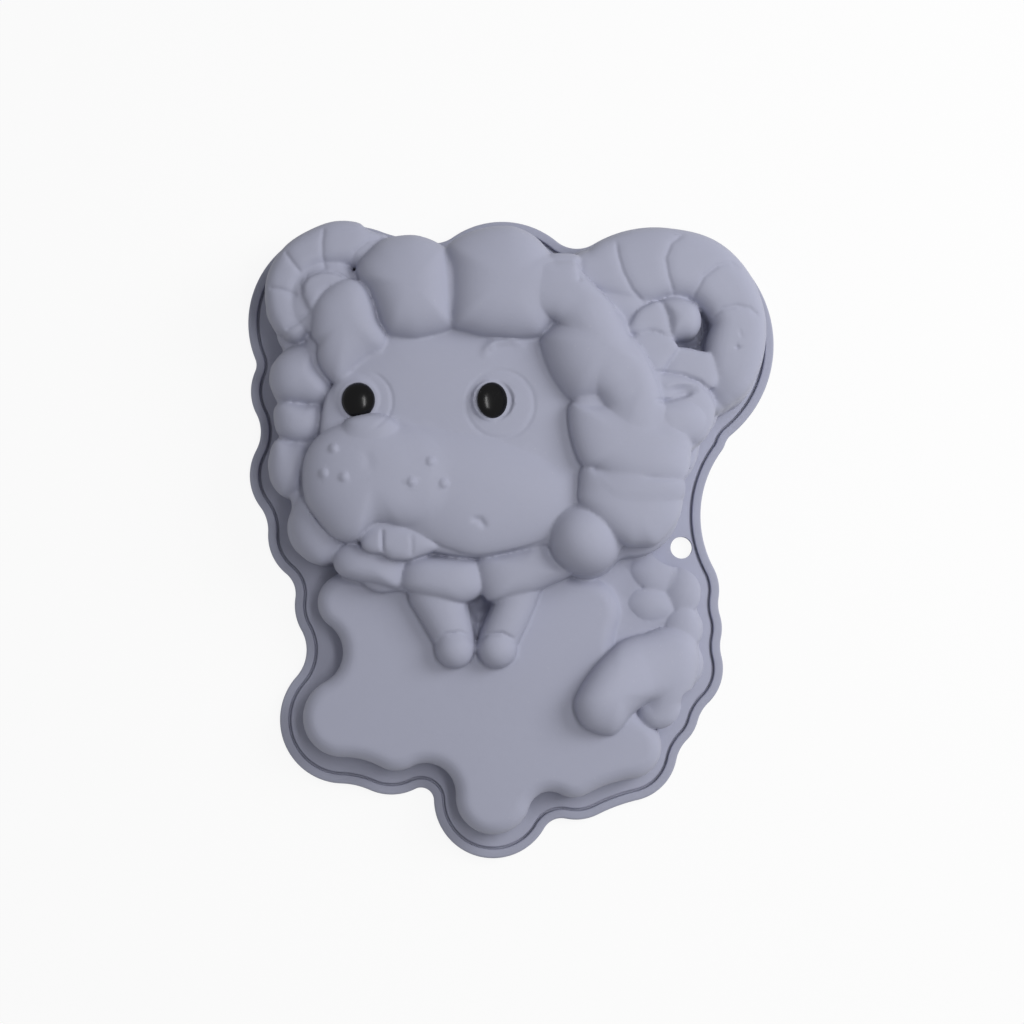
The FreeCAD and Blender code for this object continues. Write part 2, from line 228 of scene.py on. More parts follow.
STAR = ArcChain.of(
    (-0.306, -0.105, 0.0486, 0.055), (-0.312, -0.281, 0.0663, 0.13), (-0.213, -0.313, 0.054, 0.05),
    (-0.0345, -0.4015, 0.0627, 0.036), (0.113, -0.362, 0.045, 0.2), (0.215, -0.325, 0.0545, 0.14),
    (0.134, -0.1205, 0.06, 0.06), (0.056, -0.086, 0.048, 0.06), (-0.106, -0.106, 0.1, 0.2))
HEAD = ArcChain.of(
    (0.24, 0.14, 0.095, 0.03), (0.332, 0.183, 0.0415, 0.03), (0.386, 0.2475, 0.0585, 0.04),
    (0.398, 0.304, 0.0615, 0.04), (0.376, 0.3575, 0.065, 0.04), (0.312, 0.391, 0.072, 0.04),
    (0.232, 0.391, 0.072, 0.04), (0.156, 0.3755, 0.07, 0.03), (-0.016, 0.3695, 0.095, 0.022),
    (-0.184, 0.362, 0.084, 0.03), (-0.255, 0.408, 0.051, 0.04), (-0.304, 0.42, 0.049, 0.04),
    (-0.3585, 0.415, 0.049, 0.04), (-0.4, 0.386, 0.0475, 0.04), (-0.407, 0.344, 0.043, 0.03),
    (-0.3955, 0.306, 0.035, 0.014), (-0.383, 0.2325, 0.056, 0.014), (-0.3835, 0.175, 0.048, 0.014),
    (-0.392, 0.1045, 0.051, 0.03), (-0.3465, 0.008, 0.059, 0.03), (-0.235, -0.05, 0.045, 0.06),
    (-0.126, -0.072, 0.048, 0.06), (0.023, -0.056, 0.045, 0.03), (0.136, -0.016, 0.058, 0.03),
    (0.2165, 0.039, 0.083, 0.03))
BODY = ArcChain.of(
    (0.19, -0.25, 0.056, 0.12), (0.262, -0.26, 0.042, 0.018), (0.303, -0.1995, 0.047, 0.018),
    (0.307, -0.145, 0.043, 0.018), (0.301, -0.092, 0.043, 0.06), (0.19, -0.05, 0.062, 0.2))


# Workbench for meshes

class Solver(Enum):
    """How two solids meet."""

    JOIN = "UNION"
    CUT = "DIFFERENCE"


class Bench:
    """Makes closed forms with mesh operators and finishes them as objects."""

    @staticmethod
    def skin(work: bmesh.types.BMesh, outlines: list[list[Vector]], capped: bool) -> None:
        """Draws a skin through closed outlines, each extruded from the one before.

        Args:
            work: the mesh to add to.
            outlines: corners of each outline, as many in each.
            capped: whether the ends are closed with a face, rather than joined to each other.
        """
        row = [work.verts.new(point) for point in outlines[0]]
        edges = [work.edges.new(pair) for pair in zip(row, row[1:] + row[:1])]
        first, made = list(edges), list(row)
        for outline in outlines[1:]:
            drawn = bmesh.ops.extrude_edge_only(work, edges=edges)["geom"]
            fresh = {part for part in drawn if isinstance(part, bmesh.types.BMVert)}
            row = [next(edge.other_vert(corner) for edge in corner.link_edges
                        if edge.other_vert(corner) in fresh) for corner in row]
            edges = [part for part in drawn if isinstance(part, bmesh.types.BMEdge)
                     and part.verts[0] in fresh and part.verts[1] in fresh]
            for corner, point in zip(row, outline):
                corner.co = point
            made += row
        if capped:
            for end in (first, edges):
                bmesh.ops.contextual_create(work, geom=end)
        else:
            bmesh.ops.remove_doubles(work, verts=made, dist=WELD)

    @staticmethod
    def lofted(work: bmesh.types.BMesh, chain: ArcChain, rows: list[Row], capped: bool = True) -> None:
        """Adds a form whose level outlines follow a chain.

        Args:
            work: the mesh to add to.
            chain: the outline.
            rows: inset and height of each level outline.
            capped: whether the form is a plate, rather than a hoop that ends where it starts.
        """
        outlines = [[point.to_3d() + Vector((0, 0, height)) for point in chain.points(inset)]
                    for inset, height in rows]
        Bench.skin(work, outlines, capped)

    @staticmethod
    def spun(work: bmesh.types.BMesh, rows: list[Row], steps: int, place: Matrix, plan: float = 2.0) -> None:
        """Adds a form turned about the upright axis.

        Args:
            work: the mesh to add to.
            rows: radius and height of the profile, from one end on the axis to the other.
            steps: number of steps round.
            place: where the form goes.
            plan: 2 for a round plan, more for one that fills the corners of its square.
        """
        part = bmesh.new()
        corners = [part.verts.new((radius, 0, height)) for radius, height in rows]
        edges = [part.edges.new(pair) for pair in zip(corners, corners[1:])]
        bmesh.ops.spin(part, geom=corners + edges, cent=(0, 0, 0), axis=(0, 0, 1), dvec=(0, 0, 0),
                       angle=WHOLE, steps=steps, use_merge=True, use_duplicate=False)
        bmesh.ops.remove_doubles(part, verts=part.verts, dist=WELD)
        bmesh.ops.recalc_face_normals(part, faces=part.faces)
        for corner in part.verts:
            flat = corner.co.xy
            if plan != 2.0 and flat.length > WELD:
                flat.normalize()
                corner.co.xy *= (abs(flat.x) ** plan + abs(flat.y) ** plan) ** (-1 / plan)
        bmesh.ops.transform(part, matrix=place, verts=part.verts)
        Bench.pour(part, work)

    @staticmethod
    def pour(part: bmesh.types.BMesh, work: bmesh.types.BMesh) -> None:
        """Moves everything in one mesh to another."""
        carrier = bpy.data.meshes.new("carrier")
        part.to_mesh(carrier)
        part.free()
        work.from_mesh(carrier)
        bpy.data.meshes.remove(carrier)

    @staticmethod
    def stand(work: bmesh.types.BMesh, name: str) -> bpy.types.Object:
        """Turns a mesh into an object, with its faces pointing outwards, and lets the mesh go."""
        bmesh.ops.recalc_face_normals(work, faces=work.faces)
        mesh = bpy.data.meshes.new(name)
        work.to_mesh(mesh)
        work.free()
        piece = bpy.data.objects.new(name, mesh)
        bpy.context.scene.collection.objects.link(piece)
        return piece

    @staticmethod
    def settle(piece: bpy.types.Object) -> bpy.types.Object:
        """Applies the modifiers of a piece."""
        bpy.context.view_layer.update()
        evaluated = piece.evaluated_get(bpy.context.evaluated_depsgraph_get())
        mesh = bpy.data.meshes.new_from_object(evaluated)
        rough = piece.data
        piece.modifiers.clear()
        piece.data = mesh
        bpy.data.meshes.remove(rough)
        mesh.name = piece.name
        return piece

    @staticmethod
    def melt(piece: bpy.types.Object, grain: float, rounds: int) -> bpy.types.Object:
        """Melts overlapping forms into one skin with facets of the grain's size, and softens it."""
        remesh = piece.modifiers.new("melt", "REMESH")
        remesh.mode = "VOXEL"
        remesh.voxel_size = grain
        soften = piece.modifiers.new("soften", "SMOOTH")
        soften.iterations = rounds
        return Bench.settle(piece)

    @staticmethod
    def thin(piece: bpy.types.Object, triangles: int) -> bpy.types.Object:
        """Brings a piece down to about that many triangles, which stay closest where the skin curves."""
        piece.data.calc_loop_triangles()
        share = triangles / len(piece.data.loop_triangles)
        if share < 1:
            lighten = piece.modifiers.new("lighten", "DECIMATE")
            lighten.ratio = share
            Bench.settle(piece)
        return piece

    @staticmethod
    def meet(piece: bpy.types.Object, tool: bpy.types.Object, how: Solver) -> bpy.types.Object:
        """Joins a solid to a piece, or cuts it out of the piece, and removes that solid."""
        meeting = piece.modifiers.new("meet", "BOOLEAN")
        meeting.operation = how.value
        meeting.solver = "MANIFOLD"
        meeting.object = tool
        Bench.settle(piece)
        mesh = tool.data
        bpy.data.objects.remove(tool)
        bpy.data.meshes.remove(mesh)
        return piece

    @staticmethod
    def finish(piece: bpy.types.Object, crease: float = CREASE) -> bpy.types.Object:
        """Turns millimetres into metres and shades smoothly up to an angle in degrees."""
        piece.data.transform(Matrix.Scale(METRES, 4))
        piece.data.shade_smooth()
        piece.data.set_sharp_from_angle(angle=math.radians(crease))
        return piece


def rounded(start: Row, end: Row, steps: int) -> list[Row]:
    """Quarter round from an upright side to a level top.

    Args:
        start: inset or radius, and height, where the side ends.
        end: inset or radius, and height, where the top starts.
        steps: number of steps.

    Returns:
        The rows, with both ends.
    """
    turns = [QUARTER * index / steps for index in range(steps + 1)]
    return [(end[0] + (start[0] - end[0]) * math.cos(turn), start[1] + (end[1] - start[1]) * math.sin(turn))
            for turn in turns]


def arched(power: float, steps: int, sweep: float = QUARTER) -> list[Row]:
    """Section of a rounded form, from its side over its top, as shares of the half width and of the rise.

    Args:
        power: 2 for an ellipse, more for a fuller section.
        steps: number of steps.
        sweep: a quarter turn up to the top, or a half turn down to the other side.

    Returns:
        The rows, with both ends.
    """
    rows = []
    for turn in (sweep * step / steps for step in range(steps + 1)):
        out = math.copysign(abs(math.cos(turn)) ** (2 / power), math.cos(turn))
        rows.append((out, max(0.0, math.sin(turn)) ** (2 / power)))
    return rows


def between(corners: list, part: float) -> Vector | np.ndarray:
    """Point on a smooth line through four corners, that part of the way from the second to the third."""
    before, start, end, after = corners
    return 0.5 * (2 * start + (end - before) * part + (2 * before - 5 * start + 4 * end - after) * part ** 2
                  + (3 * start - before - 3 * end + after) * part ** 3)


# Forms of the relief

@dataclass(frozen=True)
class Boulder:
    """Rounded form on a column. The place and radii are in picture units, the heights in millimetres."""

    across: float
    down: float
    wide: float
    high: float
    top: float
    rise: float
    power: float = 2.0
    plan: float = 2.0
    floor: float = BELOW
    lean: Row = (0.0, 0.0)

    def add(self, work: bmesh.types.BMesh) -> None:
        """Adds the form to a mesh."""
        shoulder = self.top - self.rise
        centre = SIGHT.place(self.across, self.down, shoulder)
        rows = [(out, shoulder + self.rise * up) for out, up in reversed(arched(self.power, ARCH_STEPS))]
        rows += [(1.0, self.floor), (0.0, self.floor)]
        slant = Matrix.Identity(4)
        slant[2][0], slant[2][1] = self.lean
        wide, high = SIGHT.length(self.wide, shoulder), SIGHT.length(self.high, shoulder)
        stand = Matrix.Translation((centre.x, centre.y, 0))
        Bench.spun(work, rows, ROUND_STEPS, stand @ slant @ Matrix.Diagonal((wide, high, 1, 1)), self.plan)


@dataclass(frozen=True)
class Cushion:
    """Rounded form on a column. Its outline, in picture units, can be seen whole from its centre."""

    centre: Row
    outline: tuple[Row, ...]
    top: float
    rise: float
    power: float = 2.6
    floor: float = BELOW
    lean: Row = (0.0, 0.0)

    @property
    def shoulder(self) -> float:
        """Height at which the outline is drawn."""
        return self.top - self.rise

    def middle(self) -> Vector:
        """Place of the centre."""
        return SIGHT.place(*self.centre, self.shoulder)

    def reach(self, turns: np.ndarray) -> np.ndarray:
        """How far the outline is from the centre in each direction, on a smooth line through its corners."""
        middle = self.middle()
        corners = [SIGHT.place(across, down, self.shoulder) - middle for across, down in self.outline]
        found = []
        for index in range(len(corners)):
            near = [corners[(index + step) % len(corners)] for step in (-1, 0, 1, 2)]
            for part in (0.0, 0.25, 0.5, 0.75):
                spot = between(near, part)
                found.append((math.atan2(spot.y, spot.x) % WHOLE, math.hypot(spot.x, spot.y)))
        known, far = zip(*sorted(found))
        return np.interp(turns, known, far, period=WHOLE)

    def heights(self, points: np.ndarray) -> np.ndarray:
        """Height of the form over each point, and far below outside it."""
        middle = self.middle()
        x, y = points[:, 0] - middle.x, points[:, 1] - middle.y
        share = np.hypot(x, y) / self.reach(np.arctan2(y, x) % WHOLE)
        arch = np.clip(1 - share ** self.power, 0, 1) ** (1 / self.power)
        level = self.shoulder + self.rise * arch + self.lean[0] * x + self.lean[1] * y
        return np.where(share < 1, level, NOWHERE)

    def add(self, work: bmesh.types.BMesh) -> None:
        """Adds the form to a mesh."""
        middle = self.middle()
        turns = np.arange(OUTLINE_STEPS) * (WHOLE / OUTLINE_STEPS)
        sides = [(math.cos(turn) * far, math.sin(turn) * far) for turn, far in zip(turns, self.reach(turns))]
        outlines = []
        for share, up in [(INNERMOST_SHARE, 1.0), *arched(self.power, ARCH_STEPS)[-2::-1]]:
            level = self.shoulder + self.rise * up
            lifts = [level + (self.lean[0] * x + self.lean[1] * y) * share for x, y in sides]
            outlines.append([Vector((middle.x + x * share, middle.y + y * share, lift))
                             for (x, y), lift in zip(sides, lifts)])
        outlines.append([Vector((middle.x + x, middle.y + y, self.floor)) for x, y in sides])
        Bench.skin(work, outlines, True)


@dataclass(frozen=True)
class Roll:
    """Long rounded form along a curved line.

    A station is a place and a half width in picture units, and a top in millimetres.
    """

    stations: tuple[tuple[float, float, float, float], ...]
    rise: float
    floor: float = BELOW
    power: float = 2.0
    steps: int = 10

    def stops(self) -> list[tuple[Vector, float, float]]:
        """Places, half widths and tops on a smooth line through the stations."""
        control = []
        for across, down, half, top in self.stations:
            place = SIGHT.place(across, down, top - self.rise)
            control.append(np.array((place.x, place.y, SIGHT.length(half, top - self.rise), top)))
        control = [2 * control[0] - control[1]] + control + [2 * control[-1] - control[-2]]
        found = [between(control[index:index + 4], step / self.steps)
                 for index in range(len(control) - 3) for step in range(self.steps)]
        found.append(between(control[-4:], 1.0))
        return [(Vector((spot[0], spot[1], 0)), float(spot[2]), float(spot[3])) for spot in found]

    def add(self, work: bmesh.types.BMesh) -> None:
        """Adds the form to a mesh, with round ends."""
        outlines, stops = [], self.stops()
        for index, (place, half, top) in enumerate(stops):
            along = stops[min(index + 1, len(stops) - 1)][0] - stops[max(index - 1, 0)][0]
            side = Vector((along.y, -along.x, 0)).normalized() * half
            arch = [place + side * out + Vector((0, 0, top - self.rise * (1 - up)))
                    for out, up in arched(self.power, SECTION_STEPS, math.pi)]
            ends = [place + side * sign + Vector((0, 0, self.floor)) for sign in (1, -1)]
            outlines.append([ends[0], *arch, ends[1]])
        Bench.skin(work, outlines, True)
        for place, half, top in (stops[0], stops[-1]):
            rows = [(out * half, top - self.rise * (1 - up))
                    for out, up in reversed(arched(self.power, END_STEPS))]
            rows += [(half, self.floor), (0.0, self.floor)]
            Bench.spun(work, rows, END_ROUND_STEPS, Matrix.Translation(place))


# Tables of the forms, in picture units and millimetres

UNDERLAY = (
    Boulder(453, 287, 34, 36, 40.5, 6.0, power=3.0),
    Boulder(596, 410, 26, 24, 42.0, 6.0, power=3.0),
    Boulder(636, 400, 34, 44, 42.3, 6.0, power=3.0),
    Boulder(634, 480, 42, 30, 41.8, 6.0, power=3.0, plan=3.0),
    Boulder(641, 338, 32, 38, 39.8, 6.0, power=3.0),
    Boulder(608, 520, 26, 22, 41.0, 6.0, power=3.0),
    Boulder(672, 420, 30, 34, 39.5, 6.0, power=3.0, plan=3.0),
    Boulder(618, 292, 40, 32, 40.6, 6.0, power=3.0),
    Boulder(322, 296, 40, 40, 37.0, 5.0, power=3.0),
    Boulder(336, 345, 30, 40, 33.0, 5.0, power=3.0),
)
WOOL = (
    Cushion((412, 290), (
        (393, 238), (412, 236), (427, 239), (440, 245), (449, 252), (453, 270), (455, 290), (455, 310),
        (455, 328), (445, 334), (431, 338), (416, 341), (402, 340), (390, 337), (383, 329), (378, 317),
        (373, 303), (367, 290), (357, 279), (357, 266), (367, 253), (379, 243)), 45.0, 13.0, 2.5),
    Cushion((508, 285), (
        (446, 249), (457, 239), (468, 234), (480, 230), (491, 228), (503, 227), (515, 228), (531, 235),
        (542, 244), (552, 256), (566, 262), (580, 285), (574, 305), (561, 320), (549, 331), (538, 338),
        (520, 340), (500, 339), (480, 337), (466, 333), (452, 328), (450, 310), (450, 290), (449, 268)),
        46.5, 13.0, 2.6),
    Cushion((566, 284), (
        (548, 256), (565, 254), (579, 257), (582, 272), (592, 288), (600, 300), (590, 314), (572, 318),
        (556, 312), (544, 306), (538, 275)), 43.5, 5.0, 3.0),
    Cushion((602, 350), (
        (573, 285), (587, 287), (602, 295), (614, 306), (624, 319), (630, 333), (632, 345), (638, 356),
        (646, 365), (650, 374), (642, 384), (630, 393), (620, 400), (604, 405), (587, 406), (570, 403),
        (556, 387), (546, 369), (540, 350), (539, 341), (547, 330), (556, 318), (560, 300)), 47.5, 15.0,
        2.4),
    Cushion((624, 440), (
        (570, 404), (587, 406), (604, 405), (620, 400), (632, 390), (642, 377), (651, 374), (656, 392),
        (660, 410), (672, 428), (687, 436), (691, 450), (689, 466), (682, 478), (650, 480), (612, 475),
        (592, 470), (582, 466), (576, 455), (571, 439), (568, 420)), 45.5, 9.0, 3.0),
    Cushion((632, 508), (
        (582, 466), (600, 470), (640, 474), (672, 474), (683, 482), (683, 500), (679, 518), (670, 532),
        (656, 545), (642, 546), (625, 545), (602, 530), (579, 504), (578, 486)), 44.6, 9.0, 2.8),
    Boulder(585, 538, 38, 37, 44.5, 16.0, power=2.2),
    Cushion((303, 376), (
        (270, 374), (273, 365), (281, 355), (292, 347), (306, 342), (318, 344), (320, 356), (322, 367),
        (329, 377), (335, 389), (333, 402), (320, 407), (305, 406), (290, 404), (277, 398), (270, 386)),
        34.0, 10.0, 2.3),
    Cushion((301, 422), (
        (274, 420), (275, 408), (283, 402), (296, 403), (310, 405), (322, 405), (329, 414), (328, 430),
        (318, 441), (305, 445), (290, 443), (278, 434)), 32.0, 9.0, 2.3),
    Cushion((290, 471), (
        (269, 470), (271, 450), (278, 439), (292, 441), (306, 442), (311, 455), (306, 478), (303, 490),
        (294, 496), (282, 496), (272, 484)), 31.5, 9.0, 2.3),
    Cushion((318, 528), (
        (290, 524), (294, 504), (301, 491), (311, 500), (320, 515), (334, 530), (350, 540), (346, 550),
        (335, 560), (320, 565), (305, 559), (294, 545)), 32.0, 11.0, 2.3),
)
LOCK = Cushion((348, 322), (
    (312, 318), (315, 305), (321, 296), (333, 286), (345, 281), (355, 281), (364, 286), (370, 296),
    (375, 308), (379, 322), (387, 338), (384, 350), (370, 356), (356, 367), (346, 377), (337, 384),
    (328, 378), (320, 367), (317, 355), (318, 345), (312, 337)), 42.0, 8.0, 2.5, lean=(0.0, 0.12))
LARGE_HORN = Roll((
    (590, 276, 24, 41.8), (606, 274, 33, 42.1), (634, 271, 40, 42.5), (664, 266, 37, 42.8),
    (699, 272, 34, 42.4), (724, 294, 31, 41.6), (737, 323, 28, 41.0), (733, 353, 30, 40.4),
    (727, 378, 26, 39.0), (718, 394, 19, 36.8), (711, 403, 14, 34.5)), 11.0, power=3.2)
COIL = (
    Cushion((650, 320), (
        (628, 331), (631, 322), (637, 312), (648, 305), (659, 302), (667, 313), (670, 325), (671, 338),
        (660, 334), (648, 332), (637, 335)), 41.6, 2.6, 3.6),
    Cushion((653, 351), (
        (629, 343), (636, 334), (648, 331), (660, 332), (670, 337), (678, 347), (674, 355), (667, 365),
        (660, 374), (651, 374), (642, 362), (634, 352)), 41.4, 2.6, 3.6),
    Cushion((686, 364), (
        (674, 349), (687, 348), (699, 351), (712, 355), (717, 372), (714, 388), (698, 384), (680, 380),
        (662, 376), (667, 364)), 39.4, 2.6, 3.6),
    Cushion((682, 319), (
        (659, 302), (673, 298), (687, 301), (697, 308), (701, 320), (699, 331), (692, 338), (680, 340),
        (668, 340), (666, 325), (663, 314)), 43.2, 8.0, 2.4),
)
SMALL_HORN = Roll((
    (384, 243, 6, 35.0), (365, 247, 21, 37.6), (340, 246, 24, 38.5), (316, 252, 21, 38.5),
    (298, 264, 20, 38.3), (286, 283, 19, 37.6), (285, 303, 19, 36.8), (291, 320, 20, 36.0),
    (297, 329, 16, 35.5)), 10.0, power=2.8)
SMALL_COIL = Cushion((319, 286), (
    (302, 294), (301, 284), (307, 276), (319, 271), (333, 271), (347, 277), (344, 284), (333, 289),
    (322, 298), (315, 307), (310, 310), (305, 301)), 39.3, 3.0, 2.8)
FACE = (
    Cushion((460, 440), (
        (334, 385), (345, 372), (358, 358), (371, 345), (383, 330), (400, 326), (430, 326), (470, 326),
        (520, 326), (550, 330), (575, 345), (592, 385), (606, 415), (618, 450), (616, 490), (600, 515),
        (566, 540), (520, 549), (478, 557), (440, 553), (400, 545), (365, 541), (340, 538), (325, 520),
        (318, 480), (320, 440), (322, 415), (326, 397)), 36.8, 6.0, 3.6, lean=(-0.01, 0.0)),
    Boulder(361, 401, 31, 31, 37.6, 4.0),
    Boulder(500, 404, 35, 35, 37.0, 3.0, lean=(-0.05, 0.0)),
)
MUZZLE_CORE = Cushion((372, 478), (
    (303, 483), (304, 463), (310, 447), (323, 433), (343, 422), (357, 417), (373, 416), (387, 418),
    (400, 424), (420, 440), (432, 470), (428, 505), (412, 530), (390, 526), (377, 526), (367, 532),
    (361, 541), (347, 542), (333, 537), (320, 523), (307, 503)), 40.5, 12.0, 2.4)
MUZZLE = Cushion((374, 478), (
    (303, 483), (304, 463), (310, 447), (323, 433), (343, 422), (357, 418), (373, 417), (387, 418),
    (402, 423), (424, 432), (442, 448), (456, 475), (450, 505), (430, 524), (407, 529), (390, 526),
    (377, 526), (367, 532), (358, 540), (347, 542), (333, 537), (320, 523), (307, 503)), 43.3, 13.0, 2.7)
CHEEK = Cushion((474, 488), (
    (345, 478), (360, 436), (390, 420), (423, 427), (445, 432), (475, 437), (510, 446), (545, 460),
    (580, 480), (594, 505), (578, 525), (548, 539), (510, 550), (475, 555), (450, 549), (436, 543),
    (423, 536), (407, 529), (390, 526), (362, 505)), 40.6, 8.0, 2.2, lean=(-0.04, 0.0))
NOSE = Cushion((371, 430), (
    (343, 430), (346, 421), (357, 416), (371, 414), (386, 416), (397, 422), (400, 431), (390, 441),
    (373, 445), (357, 443), (346, 438)), 42.3, 7.0, 2.6)
TEETH = Cushion((399, 542), (
    (362, 538), (370, 526), (390, 522), (411, 526), (430, 534), (440, 546), (431, 552), (420, 556),
    (407, 560), (391, 559), (382, 554), (370, 553), (362, 547)), 37.0, 4.0, 2.8)
EAR = Cushion((684, 406), (
    (650, 373), (665, 372), (684, 375), (701, 382), (710, 393), (715, 406), (714, 418), (710, 431),
    (704, 440), (694, 445), (680, 442), (666, 430), (656, 412), (653, 393)), 41.5, 6.0, 2.6,
    lean=(-0.05, 0.0))
BIB = (
    Cushion((370, 565), (
        (333, 558), (340, 545), (355, 542), (375, 547), (395, 555), (408, 563), (406, 576), (399, 589),
        (375, 584), (350, 579), (337, 572)), 32.0, 8.0, 2.5),
    Cushion((443, 579), (
        (403, 564), (415, 557), (435, 556), (460, 557), (478, 561), (485, 572), (486, 586), (479, 596),
        (462, 603), (440, 600), (419, 595), (403, 587), (400, 575)), 32.8, 8.0, 2.5),
    Cushion((521, 571), (
        (475, 561), (500, 554), (525, 546), (545, 538), (556, 552), (568, 567), (571, 575), (551, 584),
        (530, 593), (508, 598), (489, 601), (480, 588)), 33.4, 8.0, 2.5),
)
FORELEGS = (
    Roll((
        (436, 592, 28, 29.5), (446, 617, 24, 29.2), (455, 641, 20, 28.5)), 8.0, 10.0, 2.2),
    Roll((
        (520, 590, 20, 29.5), (509, 616, 20, 29.2), (498, 641, 19.5, 28.5)), 8.0, 10.0, 2.2),
    Boulder(455, 648, 20, 20, 29.6, 8.0, floor=10.0, power=2.2),
    Boulder(497, 648, 20, 20, 29.6, 8.0, floor=10.0, power=2.2),
)
HIND_LEG = Cushion((616, 694), (
    (624, 640), (610, 650), (597, 663), (585, 679), (577, 693), (574, 704), (578, 719), (586, 728),
    (600, 734), (612, 735), (622, 728), (629, 718), (638, 710), (652, 702), (672, 694), (694, 680),
    (704, 662), (696, 646), (676, 636), (650, 633)), 31.0, 12.0, 2.1, floor=5.0, lean=(-0.26, 0.0))
RELIEF = (*UNDERLAY, *WOOL, LOCK, LARGE_HORN, *COIL, SMALL_HORN, SMALL_COIL, *FACE, MUZZLE_CORE, TEETH, EAR,
          *BIB, *FORELEGS, HIND_LEG)
SOFT_FORMS = (
    (MUZZLE, 3.0, (400, 430)),
    (CHEEK, 4.0, (385, 430)),
    (NOSE, 1.6),
    (Cushion((574, 292), (
        (540, 272), (550, 264), (565, 263), (577, 265), (584, 276), (600, 292), (614, 308), (614, 325),
        (594, 340), (574, 334), (559, 324), (538, 306)), 46.4, 7.0, 2.8), 3.0),
    (Cushion((630, 380), (
        (608, 330), (624, 332), (642, 350), (654, 374), (661, 395), (664, 415), (655, 430), (640, 433),
        (622, 425), (605, 407), (594, 384), (596, 352)), 46.4, 8.0, 2.8), 3.0),
    (Cushion((643, 476), (
        (594, 471), (610, 450), (642, 444), (680, 448), (692, 474), (684, 498), (642, 506), (610, 500)),
        44.9, 8.0, 2.4), 4.0),
    (Cushion((676, 420), (
        (648, 408), (668, 402), (692, 404), (705, 416), (703, 430), (690, 442), (668, 446), (650, 430)),
        43.8, 7.0, 2.4, lean=(-0.08, 0.0)), 3.0),
    (Cushion((672, 668), (
        (634, 642), (660, 628), (686, 632), (698, 650), (695, 680), (684, 702), (670, 718), (654, 720),
        (645, 706), (640, 692), (630, 665)), 24.5, 10.0, 2.2, lean=(-0.05, 0.0)), 4.0),
    (Cushion((652, 572), (
        (630, 570), (640, 552), (655, 548), (672, 556), (676, 575), (664, 592), (645, 590)), 17.9, 3.0,
        2.0), 1.5),
    (Cushion((650, 602), (
        (628, 604), (636, 590), (652, 588), (668, 596), (672, 612), (656, 620), (640, 618)), 17.7, 3.0,
        2.0), 1.5),
    (Cushion((686, 588), (
        (666, 592), (672, 566), (688, 560), (699, 575), (700, 598), (692, 612), (676, 612)), 17.9, 4.0,
        2.0), 2.0),
    (Cushion((686, 630), (
        (664, 630), (672, 612), (688, 608), (699, 620), (699, 640), (688, 652), (672, 648)), 18.6, 4.0,
        2.0), 2.0),
    (Cushion((661, 712), (
        (638, 714), (642, 700), (660, 692), (678, 698), (684, 712), (674, 726), (650, 728)), 21.6, 5.0,
        2.2), 2.0),
)


# Fine carving

@dataclass(frozen=True)
class Groove:
    """Line that is pressed in, or raised with a depth below zero, along marks in picture units.

    Height, width and depth are in millimetres. Each end runs out over the fade, a share of the line.
    """

    height: float
    width: float
    depth: float
    fade: float
    marks: tuple[Row, ...]

    def amount(self, points: np.ndarray) -> np.ndarray:
        """How far each point goes down, by its distance from the line in plan."""
        places = [np.array(SIGHT.place(across, down, self.height)[:2]) for across, down in self.marks]
        nearest = np.full(len(points), np.inf)
        share = np.zeros(len(points))
        lengths = [np.linalg.norm(end - start) for start, end in zip(places, places[1:])]
        passed = 0.0
        for start, end, length in zip(places, places[1:], lengths):
            along = end - start
            part = np.clip(((points[:, :2] - start) @ along) / length ** 2, 0, 1)
            gap = np.linalg.norm(points[:, :2] - start - part[:, None] * along, axis=1)
            closer = gap < nearest
            nearest[closer] = gap[closer]
            share[closer] = (passed + part[closer] * length) / sum(lengths)
            passed += length
        ends = np.clip(np.minimum(share, 1 - share) / self.fade, 0, 1)
        return np.exp(-(nearest / self.width) ** 2) * self.depth * ends


@dataclass(frozen=True)
class Lens:
    """Oval swelling that fades out all round, or a hollow with a rise below zero.

    The centre is in picture units, the other sizes are in millimetres and the turn is in degrees.
    """

    across: float
    down: float
    height: float
    wide: float
    high: float
    rise: float
    power: float = 2.0
    turn: float = 0.0

    def amount(self, points: np.ndarray) -> np.ndarray:
        """How far each point goes down."""
        place = SIGHT.place(self.across, self.down, self.height)
        x, y = points[:, 0] - place.x, points[:, 1] - place.y
        cosine, sine = math.cos(math.radians(self.turn)), math.sin(math.radians(self.turn))
        along, over = (x * cosine + y * sine) / self.wide, (y * cosine - x * sine) / self.high
        return -self.rise * np.clip(1 - along ** 2 - over ** 2, 0, 1) ** self.power


@dataclass(frozen=True)
class Halo:
    """Round groove about a centre in picture units. Its sector is a first and a last direction in degrees."""

    across: float
    down: float
    height: float
    radius: float
    width: float
    depth: float
    sector: Row | None = None
    sector_fade: float = 20.0

    def amount(self, points: np.ndarray) -> np.ndarray:
        """How far each point goes down."""
        place = SIGHT.place(self.across, self.down, self.height)
        x, y = points[:, 0] - place.x, points[:, 1] - place.y
        amount = np.exp(-((np.hypot(x, y) - self.radius) / self.width) ** 2) * self.depth
        if self.sector:
            middle, half = sum(self.sector) / 2, (self.sector[1] - self.sector[0]) / 2
            away = np.abs((np.degrees(np.arctan2(y, x)) - middle + 180) % 360 - 180)
            amount *= np.clip((half - away) / self.sector_fade, 0, 1)
        return amount


def bump(across: float, down: float, height: float, radius: float, rise: float) -> Lens:
    """Small round bump, or a dimple with a rise below zero, with a radius in millimetres."""
    return Lens(across, down, height, radius, radius, rise, 1.2)


